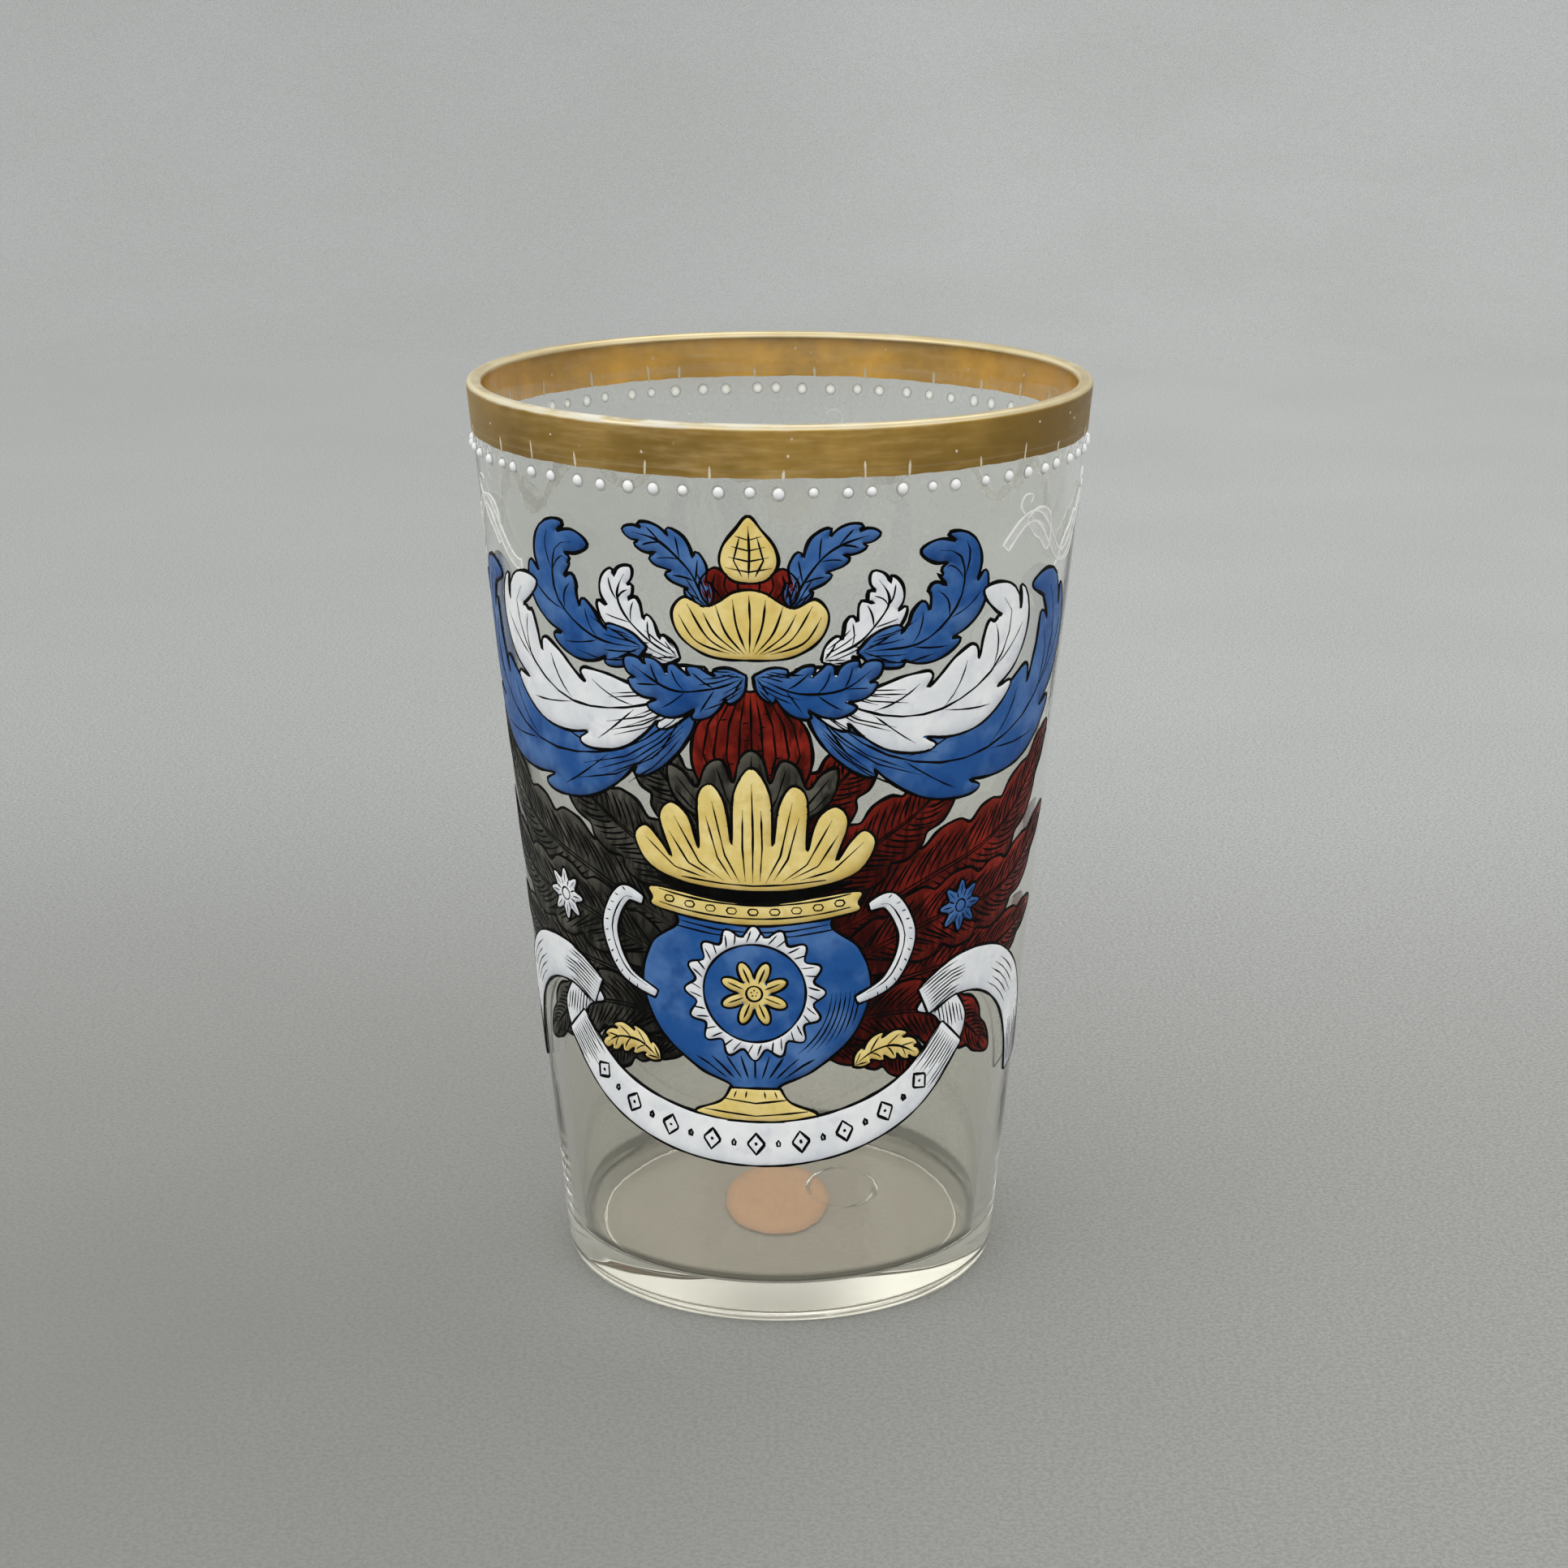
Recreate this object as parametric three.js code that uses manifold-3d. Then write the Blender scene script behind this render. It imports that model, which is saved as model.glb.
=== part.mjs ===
// Enamelled glass beaker: a tapering, handmade glass with a thick base, a gilded rim,
// a row of enamel pearls and a painted design of an urn, plumes, scrolls and a ribbon.
// Millimetres, +Z up, the foot rests on z = 0, the axis is the Z axis and the front faces -Y.
import * as THREE from "three";
import { mergeVertices } from "three/addons/utils/BufferGeometryUtils.js";
import Module from "manifold-3d";

const wasm = await Module();
wasm.setup();

// Driving dimensions of the glass
const beakerHeight = 120; // over the gilded lip
const rimRadius = 40.15; // outer radius of the glass at the lip
const footRadius = 29.3; // outer radius that the straight wall would have at z = 0
const rimWall = 1.7; // wall thickness at the lip
const lipRadius = 0.6; // rounding of the lip's outer and inner edge
const footWall = 2.4; // wall thickness at the foot
const heelRadius = 0.7; // rounding between wall and foot ring
const baseThickness = 4.6; // solid glass between the underside and the floor
const footRecess = 0.4; // depth of the flat recess inside the foot ring
const recessRadius = 24.5;
const recessRun = 0.4; // radial run from the recess down to the foot ring
const floorFillet = 0.9; // rounding between floor and wall inside

// Gilding, enamel and paper
const skinGap = 0.08; // clearance between two skins, or a skin and the glass
const giltThickness = 0.17;
const giltDepth = 6.5; // from the lip down to the band's lower edge
const enamelThickness = 0.16;
const pearlCount = 66;
const pearlRadius = 0.7;
const pearlRelief = 0.62; // how far a pearl stands out from the glass
const pearlDrop = 1.74; // from the gilt edge down to the middle of the pearls
const threadHeight = 0.3; // thin line of enamel that runs through the pearls
const labelHalfWidth = 7.3;
const labelHalfDepth = 11.5;
const labelBack = 3; // how far the label sits towards the back
const labelThickness = 0.12;

// The painted design is drawn on a flat sheet, u across and v up, and wrapped on the wall
const sheetRadius = 35; // sheet millimetres for one radian round the wall
const badgeHeight = 47.4; // height on the beaker of the middle of the urn's wreath
const designClearance = 2.06; // clear wall between the pearls and the design
const designTurn = -0.094; // radians from the front to the middle of the design
const designEdge = 0.3; // unpainted line left between neighbours of one coat

const segments = 72; // facets round the beaker
const lipSteps = 3; // facets over each edge of the lip
const labelSides = 24;

const colours = {
  glass: { color: 0xdfe2d6, roughness: 0.04, metalness: 0 },
  gilt: { color: 0xa8812f, roughness: 0.35, metalness: 0.9 },
  pearl: { color: 0xeceef0, roughness: 0.25, metalness: 0 },
  paper: { color: 0xc9a27c, roughness: 0.9, metalness: 0 },
  white: { color: 0xe2e4e8, roughness: 0.35, metalness: 0 },
  blue: { color: 0x3e60a8, roughness: 0.35, metalness: 0 },
  yellow: { color: 0xecc868, roughness: 0.35, metalness: 0 },
  red: { color: 0x641612, roughness: 0.35, metalness: 0 },
  grey: { color: 0x44443e, roughness: 0.4, metalness: 0 },
};

// Heights and radii that follow from the driving dimensions
const glassTop = beakerHeight - skinGap - giltThickness;
const lipCentre = glassTop - lipRadius;
const giltBottom = beakerHeight - giltDepth;
const pearlHeight = giltBottom - pearlDrop;
const designTop = pearlHeight - pearlRadius - designClearance;
const wallRadius = (z) => footRadius + ((rimRadius - footRadius) * z) / glassTop;
const innerRadius = (z) => wallRadius(z) - footWall - ((rimWall - footWall) * z) / glassTop;
const floorHeight = footRecess + baseThickness;

// Points of an arc in a profile, angles in degrees from the outward direction
function arc(r, z, radius, from, to, steps) {
  const points = [];
  for (let i = 0; i <= steps; i++) {
    const a = THREE.MathUtils.degToRad(from + ((to - from) * i) / steps);
    points.push([r + radius * Math.cos(a), z + radius * Math.sin(a)]);
  }
  return points;
}

// A manifold solid from a geometry
function solid(geometry) {
  const g = geometry.index ? geometry.toNonIndexed() : geometry;
  const bare = new THREE.BufferGeometry().setAttribute("position", g.getAttribute("position"));
  const merged = mergeVertices(bare, 1e-4);
  const mesh = new wasm.Mesh({
    numProp: 3,
    vertProperties: merged.attributes.position.array,
    triVerts: new Uint32Array(merged.index.array),
  });
  return new wasm.Manifold(mesh);
}

// A body of revolution round Z, whose facets start at the front
function lathe(profile) {
  const points = profile.map(([r, z]) => new THREE.Vector2(Math.max(0, r), z));
  return new THREE.LatheGeometry(points, segments).rotateX(Math.PI / 2);
}

function geometryOf(manifold) {
  const mesh = manifold.getMesh();
  const position = new THREE.BufferAttribute(new Float32Array(mesh.vertProperties), 3);
  const geometry = new THREE.BufferGeometry().setAttribute("position", position);
  geometry.setIndex(new THREE.BufferAttribute(new Uint32Array(mesh.triVerts), 1));
  geometry.computeVertexNormals();
  return geometry;
}

function piece(name, geometry, look) {
  const mesh = new THREE.Mesh(geometry, new THREE.MeshStandardMaterial(colours[look]));
  mesh.name = name;
  return mesh;
}

// The rounded lip from outside to inside, moved out from the glass by a gap
function lipProfile(gap) {
  const outer = wallRadius(lipCentre) - lipRadius;
  const inner = innerRadius(lipCentre) + lipRadius;
  return [
    ...arc(outer, lipCentre, lipRadius + gap, 0, 90, lipSteps),
    ...arc(inner, lipCentre, lipRadius + gap, 90, 180, lipSteps),
  ];
}

// The glass: recess, foot ring, heel, wall, rounded lip, bore and floor
function glassProfile() {
  const filletCentre = floorHeight + floorFillet;
  const floorRadius = innerRadius(filletCentre) - floorFillet;
  return [
    [0, footRecess],
    [recessRadius, footRecess],
    [recessRadius + recessRun, 0],
    ...arc(wallRadius(heelRadius) - heelRadius, heelRadius, heelRadius, -90, -5, 3),
    ...lipProfile(0),
    ...arc(floorRadius, filletCentre, floorFillet, 0, -90, 4),
    [0, floorHeight],
  ];
}

// The gilding: a thin skin on the wall below the lip, over the lip and just inside it
function giltProfile() {
  const out = wallRadius(giltBottom) + skinGap;
  return [
    [out, giltBottom],
    [out + giltThickness, giltBottom],
    ...lipProfile(skinGap + giltThickness),
    ...lipProfile(skinGap).reverse(),
    [out, giltBottom],
  ];
}

// A conical skin on the wall, between two clearances from the glass
function wallSkin(near, far, low, high) {
  return lathe([
    [wallRadius(low) + near, low],
    [wallRadius(low) + far, low],
    [wallRadius(high) + far, high],
    [wallRadius(high) + near, high],
    [wallRadius(low) + near, low],
  ]);
}

// The row of pearls with the thread of enamel that joins them
function pearls() {
  const low = pearlHeight - threadHeight / 2;
  const thread = wallSkin(skinGap, skinGap + enamelThickness, low, low + threadHeight);
  const foot = skinGap + enamelThickness / 4;
  const dome = [
    [0, foot],
    [pearlRadius, foot],
    [0.8 * pearlRadius, 0.6 * pearlRelief],
    [0, pearlRelief],
  ].map(([r, out]) => new THREE.Vector2(r, out));
  const bead = new THREE.LatheGeometry(dome, 5).rotateX(Math.PI);
  let row = solid(thread);
  for (let i = 0; i < pearlCount; i++) {
    const one = bead.clone().translate(0, -wallRadius(pearlHeight), pearlHeight);
    row = row.add(solid(one.rotateZ((2 * Math.PI * i) / pearlCount)));
  }
  return row;
}

// The paper label, stuck under the base inside the foot ring
function label() {
  const outline = new THREE.Shape();
  for (let i = 0; i < labelSides; i++) {
    const a = (2 * Math.PI * i) / labelSides;
    const x = labelHalfWidth * Math.cos(a);
    const y = labelHalfDepth * Math.sin(a) + labelBack;
    if (i === 0) outline.moveTo(x, y);
    else outline.lineTo(x, y);
  }
  const sheet = new THREE.ExtrudeGeometry(outline, { depth: labelThickness, bevelEnabled: false });
  return sheet.translate(0, 0, footRecess - skinGap - labelThickness);
}

// Curves of the design: points are [u, v] pairs on the flat sheet
function spline(points, steps, closed = false) {
  const n = points.length;
  const at = (i) => (closed ? points[(i + n) % n] : points[Math.min(Math.max(i, 0), n - 1)]);
  const out = [];
  for (let i = 0; i < (closed ? n : n - 1); i++) {
    for (let j = 0; j < steps; j++) {
      const t = j / steps;
      const [a, b, c, d] = [at(i - 1), at(i), at(i + 1), at(i + 2)];
      const mix = (k) =>
        0.5 *
        (2 * b[k] +
          (c[k] - a[k]) * t +
          (2 * a[k] - 5 * b[k] + 4 * c[k] - d[k]) * t * t +
          (3 * b[k] - a[k] - 3 * c[k] + d[k]) * t * t * t);
      out.push([mix(0), mix(1)]);
    }
  }
  if (!closed) out.push(points[n - 1]);
  return out;
}

const mirror = (points) => points.map(([u, v]) => [-u, v]).reverse();
const whole = (half) => [...half, ...mirror(half).slice(1, -1)];
const flip = (points, side) => points.map(([u, v]) => [u * side, v]);

// A path divided into equal steps
function evenSteps(path, count) {
  const lengths = [0];
  for (let i = 1; i < path.length; i++) {
    const step = Math.hypot(path[i][0] - path[i - 1][0], path[i][1] - path[i - 1][1]);
    lengths.push(lengths[i - 1] + step);
  }
  const total = lengths[lengths.length - 1];
  const places = [];
  let k = 0;
  for (let i = 0; i <= count; i++) {
    const want = (total * i) / count;
    while (k < path.length - 2 && lengths[k + 1] < want) k++;
    const f = (want - lengths[k]) / Math.max(1e-9, lengths[k + 1] - lengths[k]);
    const [a, b] = [path[k], path[k + 1]];
    places.push([a[0] + (b[0] - a[0]) * f, a[1] + (b[1] - a[1]) * f]);
  }
  return places;
}

// Each point of a path with its left-hand direction
function sides(path) {
  return path.map(([u, v], i) => {
    const a = path[Math.max(i - 1, 0)];
    const b = path[Math.min(i + 1, path.length - 1)];
    const d = Math.hypot(b[0] - a[0], b[1] - a[1]) || 1;
    return { u, v, across: [-(b[1] - a[1]) / d, (b[0] - a[0]) / d] };
  });
}

// A template of [along 0..1, across -1..1] points, bent along a curve
function bend(template, spine, width) {
  const count = 80;
  const places = sides(evenSteps(spline(spine, 12), count));
  return template.map(([along, across]) => {
    const x = Math.min(Math.max(along, 0), 1) * count;
    const i = Math.min(Math.floor(x), count - 1);
    const f = x - i;
    const [a, b] = [places[i], places[i + 1]];
    const n = [0, 1].map((k) => a.across[k] + (b.across[k] - a.across[k]) * f);
    const offset = across * width;
    return [a.u + (b.u - a.u) * f + n[0] * offset, a.v + (b.v - a.v) * f + n[1] * offset];
  });
}

// One side of a lobed leaf, along and across
const leafSide = [
  [0.05, 0.4],
  [0.13, 0.64],
  [0.2, 0.62],
  [0.205, 0.4],
  [0.28, 0.76],
  [0.4, 0.99],
  [0.45, 0.8],
  [0.42, 0.58],
  [0.5, 0.86],
  [0.62, 1],
  [0.69, 0.78],
  [0.65, 0.52],
  [0.73, 0.72],
  [0.84, 0.7],
  [0.875, 0.46],
  [0.84, 0.32],
  [0.93, 0.34],
];

function acanthus(spine, width, inner) {
  const low = leafSide.map(([t, y]) => [t, -y * inner]).reverse();
  return bend([[0, 0], ...leafSide, [1, 0], ...low], spine, width);
}

// A long leaf whose edge is scalloped towards its tip
function plume(spine, width, lobes) {
  const notch = 0.22;
  const swell = (t) => Math.pow(Math.sin(Math.PI * Math.pow(t * 0.94 + 0.05, 0.85)), 0.7);
  const side = [];
  for (let i = 0; i < lobes; i++) {
    const low = (i + 0.15) / lobes;
    const high = (i + 0.7) / lobes;
    side.push([low, swell(low) * (1 - notch)], [high, swell(high)]);
  }
  const other = side.map(([t, y]) => [t, -y]).reverse();
  const foot = 0.9 * swell(0);
  return bend([[0, foot], ...side, [1, 0], ...other, [0, -foot]], spine, width);
}

// A strip along a curve, whose width changes evenly from one given width to the next
function strip(spine, widths, steps) {
  const places = sides(spline(spine, steps));
  const count = places.length - 1;
  const left = [];
  const right = [];
  places.forEach((p, i) => {
    const k = (i / count) * (widths.length - 1);
    const j = Math.min(Math.floor(k), widths.length - 2);
    const half = (widths[j] + (widths[j + 1] - widths[j]) * (k - j)) / 2;
    left.push([p.u + p.across[0] * half, p.v + p.across[1] * half]);
    right.push([p.u - p.across[0] * half, p.v - p.across[1] * half]);
  });
  return [...left, ...right.reverse()];
}

// A closed outline round a centre, its radius given as a function of the angle
function ring(u, v, steps, radiusAt) {
  const out = [];
  for (let i = 0; i < steps; i++) {
    const a = (2 * Math.PI * i) / steps;
    out.push([u + radiusAt(a) * Math.sin(a), v + radiusAt(a) * Math.cos(a)]);
  }
  return out;
}

// The drawing is scaled so that the wreath and the tip of the finial come to their heights
const wreathPlace = [0, 47.4];
const finialTip = [0, 109];
const ribbonLow = [0, 23];
const drawingScale = (designTop - badgeHeight) / (finialTip[1] - wreathPlace[1]);
const heightOf = (v) => badgeHeight + (v - wreathPlace[1]) * drawingScale;

// Places a sheet point on the wall, at a clearance from the glass
function onWall([u, v], clearance) {
  const z = heightOf(v);
  const angle = designTurn + (u * drawingScale) / sheetRadius;
  const r = wallRadius(z) + clearance;
  return new THREE.Vector3(r * Math.sin(angle), -r * Math.cos(angle), z);
}

// Clearance from the glass to the inner face of a coat of enamel
const coatFoot = (coat) => skinGap + coat * (enamelThickness + skinGap);

// A pyramid from a point on the axis through an outline on the wall and well past it
function wedge(outline, coat) {
  let points = outline.map(([u, v]) => new THREE.Vector2(u, v));
  if (THREE.ShapeUtils.isClockWise(points)) points = points.reverse();
  const faces = THREE.ShapeUtils.triangulateShape(points, []);
  const wall = points.map((p) => onWall([p.x, p.y], coatFoot(coat) + enamelThickness / 2));
  const heights = wall.map((p) => p.z);
  const apex = new THREE.Vector3(0, 0, (Math.min(...heights) + Math.max(...heights)) / 2);
  const far = wall.map((p) => apex.clone().lerp(p, 2.2));
  const n = points.length;
  const index = faces.flat();
  for (let i = 0; i < n; i++) {
    index.push(n, (i + 1) % n, i);
  }
  const mesh = new wasm.Mesh({
    numProp: 3,
    vertProperties: new Float32Array([...far, apex].flatMap((p) => p.toArray())),
    triVerts: new Uint32Array(index),
  });
  return new wasm.Manifold(mesh);
}

// An outline moved outwards by a margin
function grown(outline, margin) {
  const points = outline.map(([u, v]) => new THREE.Vector2(u, v));
  const turn = THREE.ShapeUtils.isClockWise(points) ? -1 : 1;
  const n = outline.length;
  return outline.map(([u, v], i) => {
    const a = outline[(i + n - 1) % n];
    const b = outline[(i + 1) % n];
    const d = Math.hypot(b[0] - a[0], b[1] - a[1]) || 1;
    return [u + (turn * margin * (b[1] - a[1])) / d, v - (turn * margin * (b[0] - a[0])) / d];
  });
}

// Fields of enamel in painting order: name, colour, coat, outline and an optional hole
const fields = [];
function paint(name, look, coat, outline, hole = null) {
  fields.push({ name, look, coat, outline, hole });
}
function paintBoth(name, looks, coat, outlineOf) {
  paint(name + "_left", looks[0], coat, outlineOf(-1));
  paint(name + "_right", looks[1], coat, outlineOf(1));
}

// Plumes that fan out from the urn: curve, half width and number of scallops
const plumes = [
  { spine: [[3, 61], [6, 69], [11, 76], [17, 82]], half: 4.3, lobes: 5 },
  { spine: [[6, 58], [14, 66], [22, 71.5], [28, 79]], half: 4.6, lobes: 5 },
  { spine: [[9, 55], [22, 61], [36, 66], [47, 77]], half: 5.6, lobes: 6 },
  { spine: [[11, 51], [24, 55.5], [38, 57.5], [50, 65]], half: 5.2, lobes: 6 },
  { spine: [[12, 47], [24, 48.5], [37, 49], [49, 52]], half: 4.8, lobes: 6 },
  { spine: [[11, 43], [20, 43.5], [29, 41], [38, 34]], half: 4.4, lobes: 5 },
  { spine: [[9, 39.5], [16, 39.5], [21.5, 36.5], [25, 31.5]], half: 3.2, lobes: 4 },
];
plumes.forEach(({ spine, half, lobes }, i) => {
  paintBoth("plume_" + (i + 1), ["grey", "red"], i % 2, (side) =>
    plume(flip(spine, side), half, lobes),
  );
});

// Leaf scrolls that spread from the knot above the fruit
paintBoth("scroll_tip", ["white", "white"], 0, (side) =>
  acanthus(flip([[8, 91], [12.5, 93.5], [15.5, 98], [13.5, 102]], side), 3.2, 0.8),
);
paintBoth("scroll_outer", ["blue", "blue"], 1, (side) =>
  acanthus(
    flip([[6, 86.5], [15, 79], [27, 76.5], [38, 80], [44, 88], [42, 96], [37, 97]], side),
    6.2,
    0.85,
  ),
);
paintBoth("scroll_upper", ["blue", "blue"], 1, (side) =>
  acanthus(flip([[12, 92], [19.5, 92.5], [24.5, 97], [24, 103], [19, 104]], side), 4.6, 0.8),
);
paintBoth("scroll_inner", ["white", "white"], 2, (side) =>
  acanthus(flip([[5, 90], [13, 84.5], [23, 83.5], [31, 88], [33, 95], [28, 98]], side), 5.6, 0.9),
);
paintBoth("garland", ["blue", "blue"], 3, (side) =>
  acanthus(flip([[0.4, 89.2], [5, 87.2], [10, 87.2], [15, 90.5]], side), 3.7, 0.9),
);

// Crest over the knot: a cup of round petals between two leaves, with a bloom and a bud
paintBoth("crest_leaf", ["blue", "blue"], 2, (side) =>
  acanthus(flip([[4.5, 97.5], [6.5, 102], [9.8, 105.4], [14.2, 106.6]], side), 2.7, 0.85),
);
const cupHalf = [
  [0, 91.2],
  [4.6, 91.6],
  [7.8, 93.8],
  [8.7, 96.8],
  [7.2, 98.8],
  [5, 97.8],
  [3.4, 98.4],
  [1.8, 99.6],
  [0, 100],
];
const bloomHalf = [
  [0, 97],
  [4.4, 98],
  [5.4, 100.6],
  [3.8, 102.6],
  [2, 101.8],
  [0, 102.4],
];
const finialHalf = [
  [0, 100.8],
  [1.9, 101.2],
  [3.1, 103],
  [2.8, 105.2],
  [1.4, 107.3],
  finialTip,
];
paint("crest_bloom", "red", 2, spline(whole(bloomHalf), 2, true));
paint("crest_cup", "yellow", 3, spline(whole(cupHalf), 2, true));
paint("crest_finial", "yellow", 3, spline(whole(finialHalf), 2, true));

// The ribbed fruit between the urn and the knot
const fruitHalf = [
  [0, 72.4],
  [4.6, 73.4],
  [7, 77.4],
  [6.4, 82.4],
  [3.4, 86],
  [2.4, 88.2],
  [0, 87.2],
];
const calyxHalf = [
  [0, 70],
  [5, 70],
  [9.4, 73],
  [10.2, 77.2],
  [8.2, 76.6],
  [6.6, 74.6],
  [5.4, 77.6],
  [3.4, 78.4],
  [2.2, 75.4],
  [1.4, 78.6],
  [0, 79.8],
];
paint("fruit_body", "red", 1, spline(whole(fruitHalf), 2, true));
paint("fruit_calyx", "grey", 2, whole(calyxHalf));

// The urn
const urnHalf = [
  [11.6, 59.2],
  [9.8, 56.4],
  [13.6, 53.2],
  [15.4, 47.5],
  [13.2, 41.2],
  [7.8, 36.6],
  [3.2, 34.4],
  [3.4, 31.6],
];
const footHalf = [
  [3.4, 34.2],
  [4.8, 32.2],
  [8.4, 30.6],
  [8.2, 29.4],
];
const rimOutline = [
  [-12.6, 61],
  [0, 59.6],
  [12.6, 61],
  [13.2, 59.4],
  [12.4, 58],
  [0, 56.6],
  [-12.4, 58],
  [-13.2, 59.4],
];
const palmetteHalf = [
  [0, 61.2],
  [8, 61.8],
  [13.2, 63.6],
  [15.2, 67.2],
  [13.6, 69],
  [11.8, 67.4],
  [10.2, 65.2],
  [11.6, 70.2],
  [10, 72.4],
  [7.8, 70.8],
  [6.6, 66.6],
  [6.6, 73.4],
  [4.8, 75.2],
  [3.2, 72.6],
  [2.5, 67.4],
  [2.2, 74],
  [0, 77.6],
];
const urnSide = spline(urnHalf, 2);
const footSide = spline(footHalf, 2);
const wreathRadius = 8.6;
const wreathInner = 6.7;
const wreathLeaf = 0.75;
const petalRoot = 2;
const petalLength = 2.6;
paint("urn_body", "blue", 2, [...urnSide, ...mirror(urnSide)]);
paint("urn_foot", "yellow", 3, [...footSide, ...mirror(footSide)]);
paint("urn_rim", "yellow", 3, spline(rimOutline, 3, true));
paint(
  "urn_wreath",
  "white",
  3,
  ring(...wreathPlace, 32, (a) => wreathRadius + wreathLeaf * Math.cos(16 * a)),
  ring(...wreathPlace, 12, () => wreathInner),
);
paint(
  "urn_rosette",
  "yellow",
  3,
  ring(...wreathPlace, 24, (a) => petalRoot + petalLength * Math.abs(Math.sin(4 * a))),
);
paintBoth("urn_handle", ["white", "white"], 3, (side) =>
  strip(
    flip([[13.4, 46], [18.2, 48.5], [20.2, 54], [17.6, 59], [14.6, 58.6]], side),
    [1.2, 2.2, 2.6, 2.4, 1.2],
    3,
  ),
);
paint("palmette", "yellow", 3, whole(palmetteHalf));

// Small flowers on the plumes
const daisyPlace = [28.5, 56.5];
const daisyRadius = 2.9;
const daisyPetal = 0.7;
paintBoth("daisy", ["white", "blue"], 3, (side) =>
  ring(daisyPlace[0] * side, daisyPlace[1], 24, (a) => daisyRadius + daisyPetal * Math.cos(8 * a)),
);

// The ribbon under the urn, with its folds, its tails and the sprays above it
paintBoth("ribbon_fold", ["white", "white"], 2, (side) =>
  spline(flip([[29.5, 36.2], [31.4, 41], [26.5, 46.3], [22.4, 43.4], [25.8, 41.6]], side), 2, true),
);
paintBoth("ribbon_spray", ["yellow", "yellow"], 3, (side) =>
  acanthus(flip([[13.4, 36.8], [16.5, 38.8], [20, 38.8], [23.4, 36.8]], side), 2.2, 0.9),
);
paintBoth("ribbon_tail", ["white", "white"], 3, (side) =>
  strip(
    flip([[23.4, 44.2], [29, 46.8], [36, 46], [42.5, 41.5], [46.5, 35], [48, 29]], side),
    [4.2, 5.6, 6.4, 6.6, 6.4, 5.6],
    3,
  ),
);
paint(
  "ribbon_centre",
  "white",
  3,
  strip(
    [[-29, 39], [-22, 31.8], [-12, 27.7], [0, 26.3], [12, 27.7], [22, 31.8], [29, 39]],
    [5.6, 6.1, 6.3, 6.3, 6.3, 6.1, 5.6],
    2,
  ),
);

// The vine that runs round the sides and the back, level with the crest
const vineHeight = 102.6;
const vineSwing = 3.3;
const vineWave = 18;
const vineWidth = 1.3;
const vineStep = 1.5;
const vineStart = 31;
const vineEnd = (2 * Math.PI * sheetRadius) / drawingScale - vineStart;
const vineParts = ["vine_right", "vine_back", "vine_left"];
const vineLeafLength = 6.4;
const vineLeafHalf = 1.8;

function vineAt(u) {
  return [u, vineHeight + vineSwing * Math.sin((2 * Math.PI * (u - vineStart)) / vineWave)];
}

// One stretch of the vine: a waving stem with a leaf on the outside of each bend
function vine(from, to) {
  const steps = Math.round((to - from) / vineStep);
  const stem = [];
  for (let i = 0; i <= steps; i++) stem.push(vineAt(from + ((to - from) * i) / steps));
  let joined = wedge(strip(stem, [vineWidth, vineWidth], 1), 0);
  const half = vineWave / 2;
  for (let k = 0; vineStart + half * (k + 0.5) < vineEnd; k++) {
    const root = vineStart + half * (k + 0.5) - 1;
    if (root < from + 1 || root + vineLeafLength > to) continue;
    const way = k % 2 ? -1 : 1;
    const [u, v] = vineAt(root);
    const tip = [u + vineLeafLength * 0.8, v - way * vineLeafLength * 0.75];
    const waist = [u + vineLeafLength * 0.55, v - way * vineLeafLength * 0.2];
    const leaf = [[0, 0.2], [0.45, 1], [1, 0], [0.45, -1], [0, -0.2]];
    joined = joined.add(wedge(bend(leaf, [[u, v], waist, tip], vineLeafHalf), 0));
  }
  return joined;
}

// Cuts the fields of one coat clear of those painted later, and wraps them on the wall
function enamelSkin(coat) {
  const near = coatFoot(coat);
  return solid(wallSkin(near, near + enamelThickness, heightOf(ribbonLow[1]) - 1, designTop + 1));
}
const coats = [0, 1, 2, 3].map(enamelSkin);
const enamel = new THREE.Group();
fields.forEach((field, i) => {
  let shape = wedge(field.outline, field.coat);
  if (field.hole) shape = shape.subtract(wedge(field.hole, field.coat));
  for (const later of fields.slice(i + 1)) {
    const inHole = field.hole && later.name === "urn_rosette";
    if (later.coat === field.coat && !inHole) {
      shape = shape.subtract(wedge(grown(later.outline, designEdge), field.coat));
    }
  }
  enamel.add(piece(field.name, geometryOf(shape.intersect(coats[field.coat])), field.look));
});
vineParts.forEach((name, i) => {
  const span = (vineEnd - vineStart) / vineParts.length;
  const from = vineStart + span * i + (i ? designEdge / 2 : 0);
  const to = vineStart + span * (i + 1) - (i < 2 ? designEdge / 2 : 0);
  enamel.add(piece(name, geometryOf(vine(from, to).intersect(coats[0])), "white"));
});
enamel.add(piece("pearl_row", geometryOf(pearls()), "pearl"));

const vessel = new THREE.Group();
vessel.add(piece("glass_body", lathe(glassProfile()), "glass"));
vessel.add(piece("gilt_rim_band", lathe(giltProfile()), "gilt"));
vessel.add(piece("paper_label", label(), "paper"));

const beaker = new THREE.Group();
beaker.add(vessel, enamel);

export default beaker;
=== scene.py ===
import bpy
import bmesh
import numpy as np
from math import atan2, cos, degrees, dist, exp, hypot, pi, radians, sin
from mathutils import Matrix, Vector
from mathutils.geometry import delaunay_2d_cdt


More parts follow.
